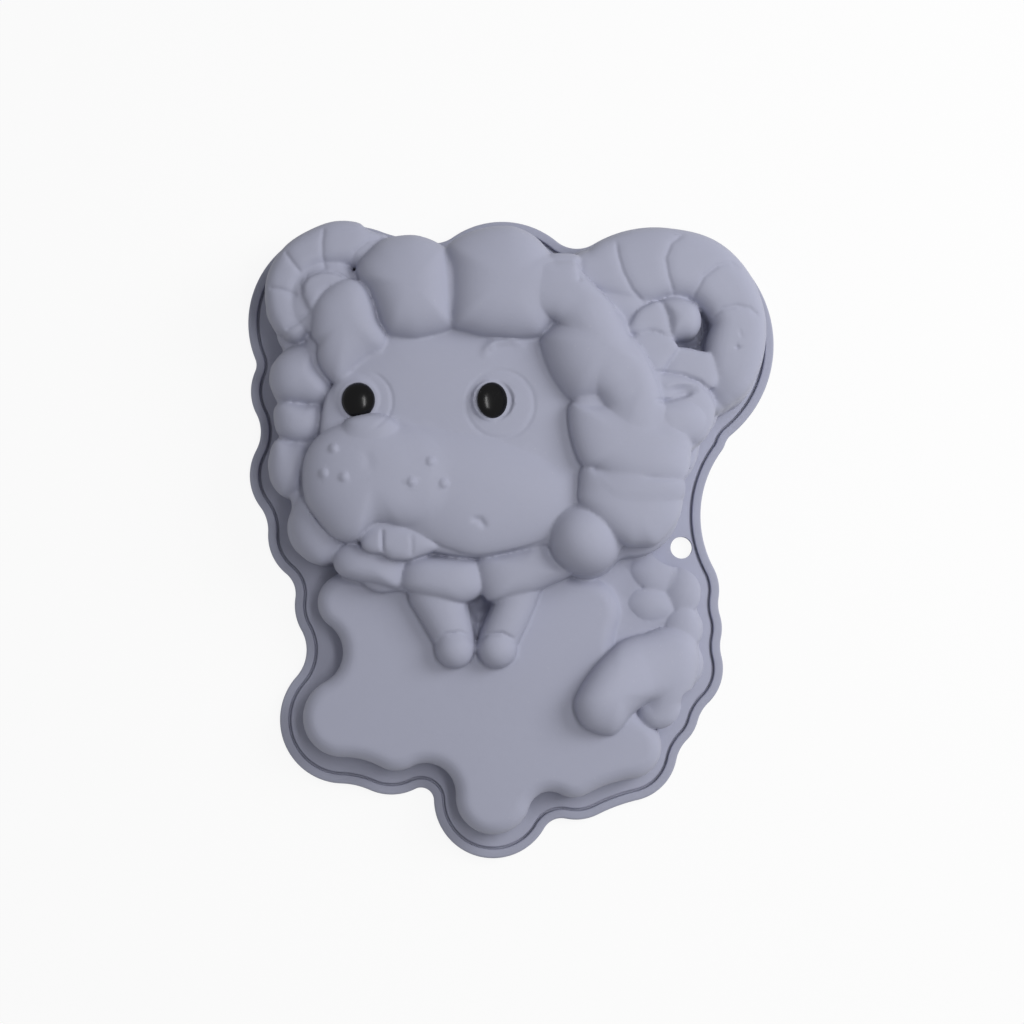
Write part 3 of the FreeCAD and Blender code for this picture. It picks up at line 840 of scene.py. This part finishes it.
def swelling(across: float, down: float, height: float, wide: float, high: float, rise: float,
             turn: float = 0.0) -> Lens:
    """Broad soft swelling, or a hollow with a rise below zero, with radii in picture units."""
    return Lens(across, down, height, SIGHT.length(wide, height), SIGHT.length(high, height), rise, turn=turn)


HORN_LINES = (
    ((616, 238), (618, 255), (623, 272), (632, 289), (647, 304)),
    ((686, 232), (671, 243), (665, 258), (668, 275), (676, 297)),
    ((743, 268), (732, 262), (718, 265), (704, 276), (696, 291), (693, 303)),
    ((763, 318), (751, 308), (737, 305), (723, 308), (712, 317), (707, 325)),
    ((577, 259), (578, 272), (580, 284)),
)
SMALL_HORN_LINES = (
    ((324, 226), (322, 241), (322, 255), (325, 271)),
    ((284, 250), (292, 262), (301, 273)),
    ((266, 286), (281, 289), (298, 295)),
    ((283, 329), (295, 322), (305, 315), (311, 309)),
    ((387, 235), (369, 239), (355, 251), (349, 263), (348, 276)),
)
HORN_SECTIONS = ((2.4, 0.35), (0.7, 0.5))
SMALL_HORN_SECTIONS = ((2.0, 0.3), (0.7, 0.45))
COIL_LINE = ((302, 296), (301, 285), (307, 276), (319, 271), (333, 271), (345, 277))
HORN_CREASES = (
    *(Groove(42, *section, 0.12, line) for line in HORN_LINES for section in HORN_SECTIONS),
    *(Groove(38, *section, 0.12, line) for line in SMALL_HORN_LINES for section in SMALL_HORN_SECTIONS),
    Groove(39, 0.8, 0.9, 0.1, COIL_LINE),
)
EAR_CARVING = (
    Groove(40, 0.8, 0.7, 0.15, ((651, 373), (665, 372), (684, 375), (701, 382), (709, 393))),
    swelling(681, 391, 40, 21, 9, -2.2, 8.0),
    Groove(40, 0.8, 1.3, 0.15, ((653, 402), (668, 400), (682, 397), (693, 393))),
)
LOCK_EDGE = Groove(37, 1.2, -0.7, 0.2, ((337, 382), (346, 373), (358, 361), (370, 353), (384, 350)))
BROW = Groove(36, 1.7, -1.3, 0.3, ((482, 358), (487, 348), (495, 342), (512, 340), (528, 346)))
WOOL_CREASE = Groove(44, 1.0, 0.5, 0.25, ((640, 477), (664, 479), (689, 479)))
COIL_PIT = Groove(34, 1.1, 5.0, 0.2, ((704, 314), (706, 328), (702, 341), (690, 345), (679, 342)))
EYE_HALOS = (
    Halo(361, 401, 38, 11.6, 0.7, 0.35, (-75, 75)),
    Halo(500, 404, 37, 12.8, 0.8, 0.3),
)
MUZZLE_CARVING = (
    Groove(43, 2.2, 0.35, 0.4, ((362, 447), (368, 459), (371, 474))),
    *(bump(across, down, 42, 2.2, 0.85) for across, down in (
        (333, 448), (323, 473), (344, 477), (431, 461), (412, 482), (444, 483))),
    Groove(38, 1.2, 0.8, 0.3, ((470, 519), (480, 520), (487, 529))),
    Groove(37, 0.8, 0.8, 0.15, ((382, 528), (382, 541), (383, 554))),
    Groove(37, 0.8, 0.35, 0.2, ((411, 532), (412, 545), (411, 558))),
)
LEG_CARVING = (
    Groove(29, 0.7, 0.7, 0.1, ((434, 641), (446, 634), (460, 632), (474, 638))),
    Groove(29, 0.7, 0.7, 0.1, ((478, 641), (488, 634), (502, 633), (516, 640))),
    swelling(481, 604, 17, 22, 22, -9.0),
    Groove(20, 1.8, 3.0, 0.2, ((480, 612), (478, 630), (476, 646))),
)
BLEMISHES = (
    bump(643, 587, 20, 0.9, -0.4),
    bump(737, 347, 40, 1.2, -0.7),
    Groove(40, 0.5, 0.25, 0.3, ((739, 328), (742, 339))),
)
CARVING = (*HORN_CREASES, *EAR_CARVING, LOCK_EDGE, BROW, WOOL_CREASE, COIL_PIT, *EYE_HALOS, *MUZZLE_CARVING,
           *LEG_CARVING, *BLEMISHES)


class Carver:
    """Moves points of a softened skin up and down, as a maker's tool would press or raise it."""

    slope_gain = 1.6
    sharp_join = 0.05
    most_gain = 12.0
    seat_edge = 0.8
    reach = 9.0
    reach_fade = 3.0

    def __init__(self, piece: bpy.types.Object) -> None:
        """Reads the points of a piece in millimetres, and how far the skin faces up at each."""
        self.mesh = piece.data
        count = len(self.mesh.vertices)
        self.points = np.empty(count * 3)
        self.mesh.vertices.foreach_get("co", self.points)
        self.points = self.points.reshape(-1, 3)
        normals = np.empty(count * 3, np.float32)
        self.mesh.vertices.foreach_get("normal", normals)
        self.lift = np.clip(normals.reshape(-1, 3)[:, 2] * self.slope_gain, 0, 1)

    def seat(self, plug: "EyePlug", radius: float) -> None:
        """Presses a round seat that leans half as far as its plug and runs out softly."""
        x, y = self.points[:, 0] - plug.place[0], self.points[:, 1] - plug.place[1]
        share = np.clip((radius + self.seat_edge - np.hypot(x, y)) / self.seat_edge, 0, 1) * self.lift
        level = plug.seat - x * math.tan(math.radians(plug.tilt / 2))
        self.points[:, 2] += (level - self.points[:, 2]) * share

    def merge(self, form: Cushion, soft: float, across: Row | None = None) -> None:
        """Raises the skin to a form, with a soft join where the two cross.

        Args:
            form: the form.
            soft: millimetres of height over which the two run together.
            across: picture units between which the join grows from sharp to soft, if it isn't soft all along.
        """
        join = self.sharp_join + soft
        if across:
            first, last = (SIGHT.place(mark, form.centre[1], form.shoulder).x for mark in across)
            join = self.sharp_join + soft * np.clip((self.points[:, 0] - first) / (last - first), 0, 1)
        level, height = self.points[:, 2], form.heights(self.points)
        near = np.clip(1 - np.abs(level - height) / join, 0, 1)
        gain = np.maximum(level, height) + join * near ** 2 / 4 - level
        self.points[:, 2] += np.where(gain < self.most_gain, gain, 0.0)

    def press(self, detail: Groove | Lens | Halo) -> None:
        """Carves a detail where the skin faces up and is near the detail's height."""
        near = np.clip((self.reach - np.abs(self.points[:, 2] - detail.height)) / self.reach_fade, 0, 1)
        self.points[:, 2] -= detail.amount(self.points) * self.lift * near

    def done(self) -> None:
        """Writes the points back."""
        self.mesh.vertices.foreach_set("co", self.points.ravel())
        self.mesh.update()


# Pieces

@dataclass
class MouldShell:
    """One-piece silicone shell: relief, cavity, flange, tongue, hang hole and the holes of the eye plugs."""

    wall: float = 2.0
    grain: float = 0.6
    cavity_grain: float = 1.3
    relief_rounds: int = 4
    cavity_rounds: int = 3
    flange_top: float = 3.0
    flange_inset: float = 4.2
    flange_round: float = 0.6
    flange_steps: int = 5
    tongue_top: float = 1.2
    tongue_inset: float = 1.6
    tongue_round: float = 0.3
    tongue_steps: int = 3
    star_top: float = 20.0
    star_edge: float = 6.0
    body_top: float = 15.8
    head_top: float = 27.0
    edge: float = 4.0
    plate_skirt: float = 0.5
    seat_radius: float = 7.3
    hole_radius: float = 4.3
    hole_place: Row = (66.39, -4.70)
    hole_span: Row = (-9.0, 9.0)
    stem_gap: float = 0.2
    stem_span: Row = (20.0, 60.0)
    relief_triangles: int = 130000
    cavity_triangles: int = 40000

    def relief(self, plugs: tuple["EyePlug", ...]) -> bpy.types.Object:
        """Makes the carved outer skin as a filled solid, with seats for the plugs."""
        work = bmesh.new()
        plates = ((STAR, self.star_top, self.star_edge), (BODY, self.body_top, self.edge),
                  (HEAD, self.head_top, self.edge))
        for chain, top, edge in plates:
            rows = [(-self.plate_skirt, BELOW), *rounded((0.0, top - edge), (edge, top), PLATE_STEPS)]
            Bench.lofted(work, chain, rows)
        for form in RELIEF:
            form.add(work)
        piece = Bench.melt(Bench.stand(work, "relief"), self.grain, self.relief_rounds)
        tool = Carver(piece)
        for plug in plugs:
            tool.seat(plug, self.seat_radius)
        for form, *join in SOFT_FORMS:
            tool.merge(form, *join)
        for detail in CARVING:
            tool.press(detail)
        tool.done()
        return piece

    def cavity(self, relief: bpy.types.Object) -> bpy.types.Object:
        """Makes the hollow: the relief drawn in by the wall, and let down through the rim plane."""
        hollow = bpy.data.objects.new("hollow", relief.data.copy())
        bpy.context.scene.collection.objects.link(hollow)
        draw_in = hollow.modifiers.new("draw_in", "DISPLACE")
        draw_in.mid_level = 0.0
        draw_in.strength = -self.wall
        Bench.settle(hollow)
        Bench.melt(hollow, self.cavity_grain, self.cavity_rounds)
        for corner in hollow.data.vertices:
            if corner.co.z < BELOW / 2:
                corner.co.z += 2 * BELOW
        return Bench.thin(hollow, self.cavity_triangles)

    def flange(self) -> bpy.types.Object:
        """Makes the flange with the thin tongue round it."""
        work = bmesh.new()
        rows = [(self.tongue_inset, BELOW)]
        rows += rounded((self.tongue_inset, self.tongue_top - self.tongue_round),
                        (self.tongue_inset + self.tongue_round, self.tongue_top), self.tongue_steps)
        rows += [(self.flange_inset, self.tongue_top)]
        rows += rounded((self.flange_inset, self.flange_top - self.flange_round),
                        (self.flange_inset + self.flange_round, self.flange_top), self.flange_steps)
        Bench.lofted(work, RIM, rows)
        return Bench.stand(work, "flange")

    def pin(self, radius: float, place: Row, span: Row) -> bpy.types.Object:
        """Makes a cylinder that cuts a hole, between two heights."""
        work = bmesh.new()
        low, high = span
        Bench.spun(work, [(0, high), (radius, high), (radius, low), (0, low)], PIN_STEPS,
                   Matrix.Translation((*place, 0)))
        return Bench.stand(work, "pin")

    def block(self) -> bpy.types.Object:
        """Makes the block that cuts everything below the rim plane."""
        work = bmesh.new()
        depth, width = BLOCK_SIZE
        spread = Matrix.Translation((0, 0, -depth / 2)) @ Matrix.Diagonal((width, width, depth, 1))
        bmesh.ops.create_cube(work, size=1.0, matrix=spread)
        return Bench.stand(work, "block")

    def build(self, plugs: tuple["EyePlug", ...]) -> bpy.types.Object:
        """Makes the shell.

        Args:
            plugs: the eye plugs that go through it.

        Returns:
            The finished piece.
        """
        shell = self.relief(plugs)
        hollow = self.cavity(shell)
        Bench.thin(shell, self.relief_triangles)
        Bench.meet(shell, self.flange(), Solver.JOIN)
        Bench.meet(shell, hollow, Solver.CUT)
        Bench.meet(shell, self.block(), Solver.CUT)
        Bench.meet(shell, self.pin(self.hole_radius, self.hole_place, self.hole_span), Solver.CUT)
        for plug in plugs:
            Bench.meet(shell, self.pin(plug.stem + self.stem_gap, plug.place, self.stem_span), Solver.CUT)
        shell.name = "silicone_shell"
        return Bench.finish(shell)


@dataclass
class RimRing:
    """Stiff ring round the flange, with a shelf that lies on the tongue."""

    width: float = 3.4
    height: float = 4.0
    wall: float = 1.2
    shelf: float = 1.2
    foot: float = 0.3
    outer_round: float = 0.9
    outer_steps: int = 6
    inner_round: float = 0.5
    inner_steps: int = 4

    def build(self) -> bpy.types.Object:
        """Makes the ring."""
        work = bmesh.new()
        rows = [(0.0, self.foot)]
        rows += rounded((0.0, self.height - self.outer_round), (self.outer_round, self.height),
                        self.outer_steps)
        rows += reversed(rounded((self.width, self.height - self.inner_round),
                                 (self.width - self.inner_round, self.height), self.inner_steps))
        rows += [(self.width, self.shelf), (self.wall, self.shelf), (self.wall, 0.0), (self.foot, 0.0),
                 (0.0, self.foot)]
        Bench.lofted(work, RIM, rows, capped=False)
        return Bench.finish(Bench.stand(work, "rim_ring"))


@dataclass
class EyePlug:
    """Glossy plug: domed head, stem through the skin and a button inside."""

    name: str
    place: Row
    head: Row
    dome: float
    tilt: float
    seat: float = 36.96
    stem: float = 3.3
    button: float = 4.8
    button_top: float = 34.96
    button_thick: float = 1.6
    button_round: float = 0.4
    skirt: tuple[Row, ...] = ((0.97, -0.35), (0.8, -0.8), (0.0, -0.8))

    def build(self) -> bpy.types.Object:
        """Makes the plug, whose head is a dome of radius 1 that is stretched and tilted."""
        work = bmesh.new()
        place = Matrix.Translation((*self.place, 0))
        top, bottom = self.button_top, self.button_top - self.button_thick
        flat = self.button - self.button_round
        rows = [(0.0, self.seat), (self.stem, self.seat), (self.stem, top), (flat, top)]
        rows += [(self.button, top - self.button_round), (self.button, bottom + self.button_round)]
        rows += [(flat, bottom), (0.0, bottom)]
        Bench.spun(work, rows, ROUND_STEPS, place)
        dome = [(out, self.dome * up) for out, up in reversed(arched(2.0, DOME_STEPS))]
        lie = Matrix.Translation((0, 0, self.seat)) @ Matrix.Rotation(math.radians(self.tilt), 4, "Y")
        stretch = Matrix.Diagonal((*self.head, 1, 1))
        Bench.spun(work, [*dome, *self.skirt], DOME_ROUND_STEPS, place @ lie @ stretch)
        return Bench.finish(Bench.stand(work, self.name), PLUG_CREASE)


# Finishes

class Tree:
    """Short way to set nodes and links in a node tree."""

    def __init__(self, tree: bpy.types.NodeTree) -> None:
        """Takes a node tree and clears it."""
        self.tree = tree
        tree.nodes.clear()

    def node(self, kind: str, inputs: dict | None = None, **settings: object) -> bpy.types.Node:
        """Adds a node.

        Args:
            kind: type of the node.
            inputs: for each input, a value or the output that is linked to it.
            settings: properties of the node, which are set first.

        Returns:
            The node.
        """
        made = self.tree.nodes.new(kind)
        for name, value in settings.items():
            setattr(made, name, value)
        for name, value in (inputs or {}).items():
            if isinstance(value, bpy.types.NodeSocket):
                self.tree.links.new(value, made.inputs[name])
            else:
                made.inputs[name].default_value = value
        return made

    def maths(self, operation: str, first: object, second: object) -> bpy.types.NodeSocket:
        """Adds a maths node on two outputs or numbers and returns its output."""
        return self.node("ShaderNodeMath", {0: first, 1: second}, operation=operation).outputs[0]

    def noise(self, scale: object, detail: float = 2.0) -> bpy.types.NodeSocket:
        """Adds noise over the object's own coordinates and returns its strength."""
        inputs = {"Vector": self.places(), "Scale": scale, "Detail": detail}
        return self.node("ShaderNodeTexNoise", inputs).outputs["Fac"]

    def places(self) -> bpy.types.NodeSocket:
        """Adds the object's own coordinates."""
        return self.node("ShaderNodeTexCoord").outputs["Object"]


class SharedEffects:
    """Node groups that every finish uses."""

    @staticmethod
    def group(name: str, inputs: dict[str, tuple], outputs: dict[str, str]) -> bpy.types.NodeTree:
        """Makes an empty group with named sockets."""
        made = bpy.data.node_groups.new(name, "ShaderNodeTree")
        for label, (kind, value) in inputs.items():
            socket = made.interface.new_socket(name=label, in_out="INPUT", socket_type=kind)
            socket.default_value = value
        for label, kind in outputs.items():
            made.interface.new_socket(name=label, in_out="OUTPUT", socket_type=kind)
        return made

    @staticmethod
    def mottling() -> bpy.types.NodeTree:
        """Cloudy change of colour and roughness, with fine dust that settles here and there."""
        made = SharedEffects.group("mottling", {
            "Tint": ("NodeSocketColor", (0.5, 0.5, 0.5, 1.0)),
            "Cloud": ("NodeSocketFloat", 0.05),
            "Dust": ("NodeSocketFloat", 0.05),
            "Roughness": ("NodeSocketFloat", 0.5),
        }, {"Color": "NodeSocketColor", "Roughness": "NodeSocketFloat"})
        tree = Tree(made)
        given = tree.node("NodeGroupInput").outputs
        broad, fine = tree.noise(22.0, 3.0), tree.noise(420.0)
        flecks = tree.node("ShaderNodeTexVoronoi", {
            "Vector": tree.places(), "Scale": 260.0}).outputs["Distance"]
        swing = tree.maths("SUBTRACT", broad, 0.5)
        small = tree.maths("MULTIPLY", tree.maths("SUBTRACT", fine, 0.5), 0.5)
        cloud = tree.maths("MULTIPLY", tree.maths("ADD", swing, small), given["Cloud"])
        level = tree.maths("ADD", cloud, 1.0)
        toned = tree.node("ShaderNodeVectorMath", {0: given["Tint"], "Scale": level}, operation="SCALE")
        speck = tree.maths("LESS_THAN", flecks, SPECK_RADIUS)
        rare = tree.maths("GREATER_THAN", broad, DUST_LEVEL)
        dust = tree.maths("MULTIPLY", tree.maths("MULTIPLY", speck, rare), given["Dust"])
        mixed = tree.node("ShaderNodeMix", {"Factor": dust, "A": toned.outputs["Vector"], "B": DUST_TINT},
                          data_type="RGBA")
        rough = tree.maths("ADD", tree.maths("MULTIPLY", swing, ROUGHNESS_SWING), given["Roughness"])
        tree.node("NodeGroupOutput", {"Color": mixed.outputs["Result"], "Roughness": rough})
        return made

    @staticmethod
    def grain() -> bpy.types.NodeTree:
        """Very fine matt grain of a moulded surface, as a height."""
        fineness = {"Fineness": ("NodeSocketFloat", 900.0)}
        made = SharedEffects.group("grain", fineness, {"Height": "NodeSocketFloat"})
        tree = Tree(made)
        fine = tree.noise(tree.node("NodeGroupInput").outputs["Fineness"], 3.0)
        tree.node("NodeGroupOutput", {"Height": tree.maths("ADD", fine, tree.noise(120.0))})
        return made


@dataclass(frozen=True)
class Finish:
    """Moulded surface: colour, clouds, dust, shine and the strength, depth and fineness of its grain."""

    name: str
    tint: Spot
    cloud: float
    dust: float
    roughness: float
    grain: float
    specular: float = 0.35
    sheen: float = 0.0
    coat: float = 0.0
    coat_roughness: float = 0.18
    grain_depth: float = 0.0002
    fineness: float = 900.0

    def material(self, mottling: bpy.types.NodeTree, grain: bpy.types.NodeTree) -> bpy.types.Material:
        """Makes the material.

        Args:
            mottling: shared group for colour and roughness.
            grain: shared group for the surface.

        Returns:
            The material.
        """
        made = bpy.data.materials.new(self.name)
        made.use_nodes = True
        tree = Tree(made.node_tree)
        clouds = tree.node("ShaderNodeGroup", {
            "Tint": (*self.tint, 1.0), "Cloud": self.cloud, "Dust": self.dust, "Roughness": self.roughness,
        }, node_tree=mottling).outputs
        height = tree.node("ShaderNodeGroup", {"Fineness": self.fineness}, node_tree=grain).outputs["Height"]
        bumps = tree.node("ShaderNodeBump", {
            "Strength": self.grain, "Distance": self.grain_depth, "Height": height,
        }).outputs["Normal"]
        shader = tree.node("ShaderNodeBsdfPrincipled", {
            "Base Color": clouds["Color"], "Roughness": clouds["Roughness"], "Normal": bumps,
            "Specular IOR Level": self.specular, "Sheen Weight": self.sheen, "Coat Weight": self.coat,
            "Coat Roughness": self.coat_roughness,
        })
        tree.node("ShaderNodeOutputMaterial", {"Surface": shader.outputs[0]})
        return made


SILICONE = Finish("lavender_silicone", (0.372, 0.383, 0.482), 0.05, 0.10, 0.56, 0.10, sheen=0.06)
RING_PLASTIC = Finish("ring_plastic", (0.342, 0.353, 0.446), 0.04, 0.08, 0.50, 0.08, sheen=0.04)
EYE_GLOSS = Finish("eye_gloss", (0.003, 0.003, 0.0035), 0.3, 0.03, 0.24, 0.02, specular=0.22, coat=0.25,
                   grain_depth=0.0001, fineness=1400.0)


# Studio

@dataclass
class Studio:
    """White floor that keeps the shadow, plain soft light and the camera."""

    ambient: float = 0.32
    key: float = 5.75
    key_place: Spot = (0.75, 0.30, 0.62)
    key_size: Row = (0.5, 0.5)
    top: float = 1.5
    top_place: Spot = (0.20, 0.03, 0.75)
    top_size: Row = (0.45, 0.10)
    lamp_aim: Spot = (0.0, 0.0, 0.02)
    floor_size: float = 4000.0
    floor_drop: float = 0.05
    floor_tone: Spot = (0.80, 0.80, 0.80)
    floor_glow: float = 0.9

    def lamp(self, name: str, place: Spot, power: float, size: Row, glints: bool) -> None:
        """Adds a flat soft lamp that points at the middle of the mould, and may show in what is glossy."""
        data = bpy.data.lights.new(name, "AREA")
        data.shape = "RECTANGLE"
        data.size, data.size_y = size
        data.energy = power
        lamp = bpy.data.objects.new(name, data)
        lamp.location = place
        lamp.rotation_euler = (Vector(self.lamp_aim) - Vector(place)).to_track_quat("-Z", "Y").to_euler()
        lamp.visible_glossy = glints
        bpy.context.scene.collection.objects.link(lamp)

    def world(self) -> None:
        """Sets an even surround that is white to the camera."""
        made = bpy.data.worlds.new("surround")
        made.use_nodes = True
        tree = Tree(made.node_tree)
        path = tree.node("ShaderNodeLightPath").outputs
        seen = tree.maths("MAXIMUM", path["Is Camera Ray"], path["Is Transmission Ray"])
        strength = tree.maths("ADD", tree.maths("MULTIPLY", seen, 1.0 - self.ambient), self.ambient)
        background = tree.node("ShaderNodeBackground", {"Color": WHITE, "Strength": strength})
        tree.node("ShaderNodeOutputWorld", {"Surface": background.outputs[0]})
        bpy.context.scene.world = made

    def floor(self) -> None:
        """Makes the floor, which is white to the camera and keeps the mould's shadow."""
        work = bmesh.new()
        bmesh.ops.create_grid(work, x_segments=1, y_segments=1, size=self.floor_size)
        bmesh.ops.translate(work, verts=work.verts, vec=(0, 0, -self.floor_drop))
        floor = Bench.finish(Bench.stand(work, "floor"))
        made = bpy.data.materials.new("floor_white")
        made.use_nodes = True
        tree = Tree(made.node_tree)
        matt = tree.node("ShaderNodeBsdfDiffuse", {"Color": (*self.floor_tone, 1.0)}).outputs[0]
        glow = tree.node("ShaderNodeEmission", {"Color": WHITE, "Strength": 1.0}).outputs[0]
        seen = tree.node("ShaderNodeLightPath").outputs["Is Camera Ray"]
        share = tree.maths("MULTIPLY", seen, self.floor_glow)
        mixed = tree.node("ShaderNodeMixShader", {"Fac": share, 1: matt, 2: glow}).outputs[0]
        tree.node("ShaderNodeOutputMaterial", {"Surface": mixed})
        floor.data.materials.append(made)

    def build(self) -> None:
        """Makes the studio."""
        SIGHT.camera()
        self.world()
        self.floor()
        self.lamp("key_lamp", self.key_place, self.key, self.key_size, False)
        self.lamp("top_lamp", self.top_place, self.top, self.top_size, True)
        bpy.context.scene.view_settings.view_transform = "Standard"


def dress(piece: bpy.types.Object, material: bpy.types.Material, body: str, slot: str, *nodes: str) -> None:
    """Gives a piece its finish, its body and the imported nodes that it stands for."""
    piece.data.materials.clear()
    piece.data.materials.append(material)
    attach(piece, body)
    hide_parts(*nodes)
    piece.data.calc_loop_triangles()
    LOG.info("%s: %d triangles on %s", piece.name, len(piece.data.loop_triangles), body)


def main() -> None:
    """Builds the pieces in order."""
    logging.basicConfig(level=logging.INFO, format="%(name)s %(message)s")
    Studio().build()
    groups = SharedEffects.mottling(), SharedEffects.grain()
    silicone = SILICONE.material(*groups)
    plugs = (
        EyePlug("eye_left_plug", (-57.6, 48.9), (6.3, 6.7), 3.4, -2.0),
        EyePlug("eye_right_plug", (-7.3, 48.9), (6.2, 6.8), 2.6, 24.0),
    )
    dress(MouldShell().build(plugs), silicone, "mould", "silicone", "mould_body")
    dress(RimRing().build(), RING_PLASTIC.material(*groups), "ring", "ring", "support_ring")
    gloss = EYE_GLOSS.material(*groups)
    for plug, node in zip(plugs, ("eye_left", "eye_right")):
        dress(plug.build(), gloss, "mould", "eye", node)


if __name__ == "__main__":
    main()
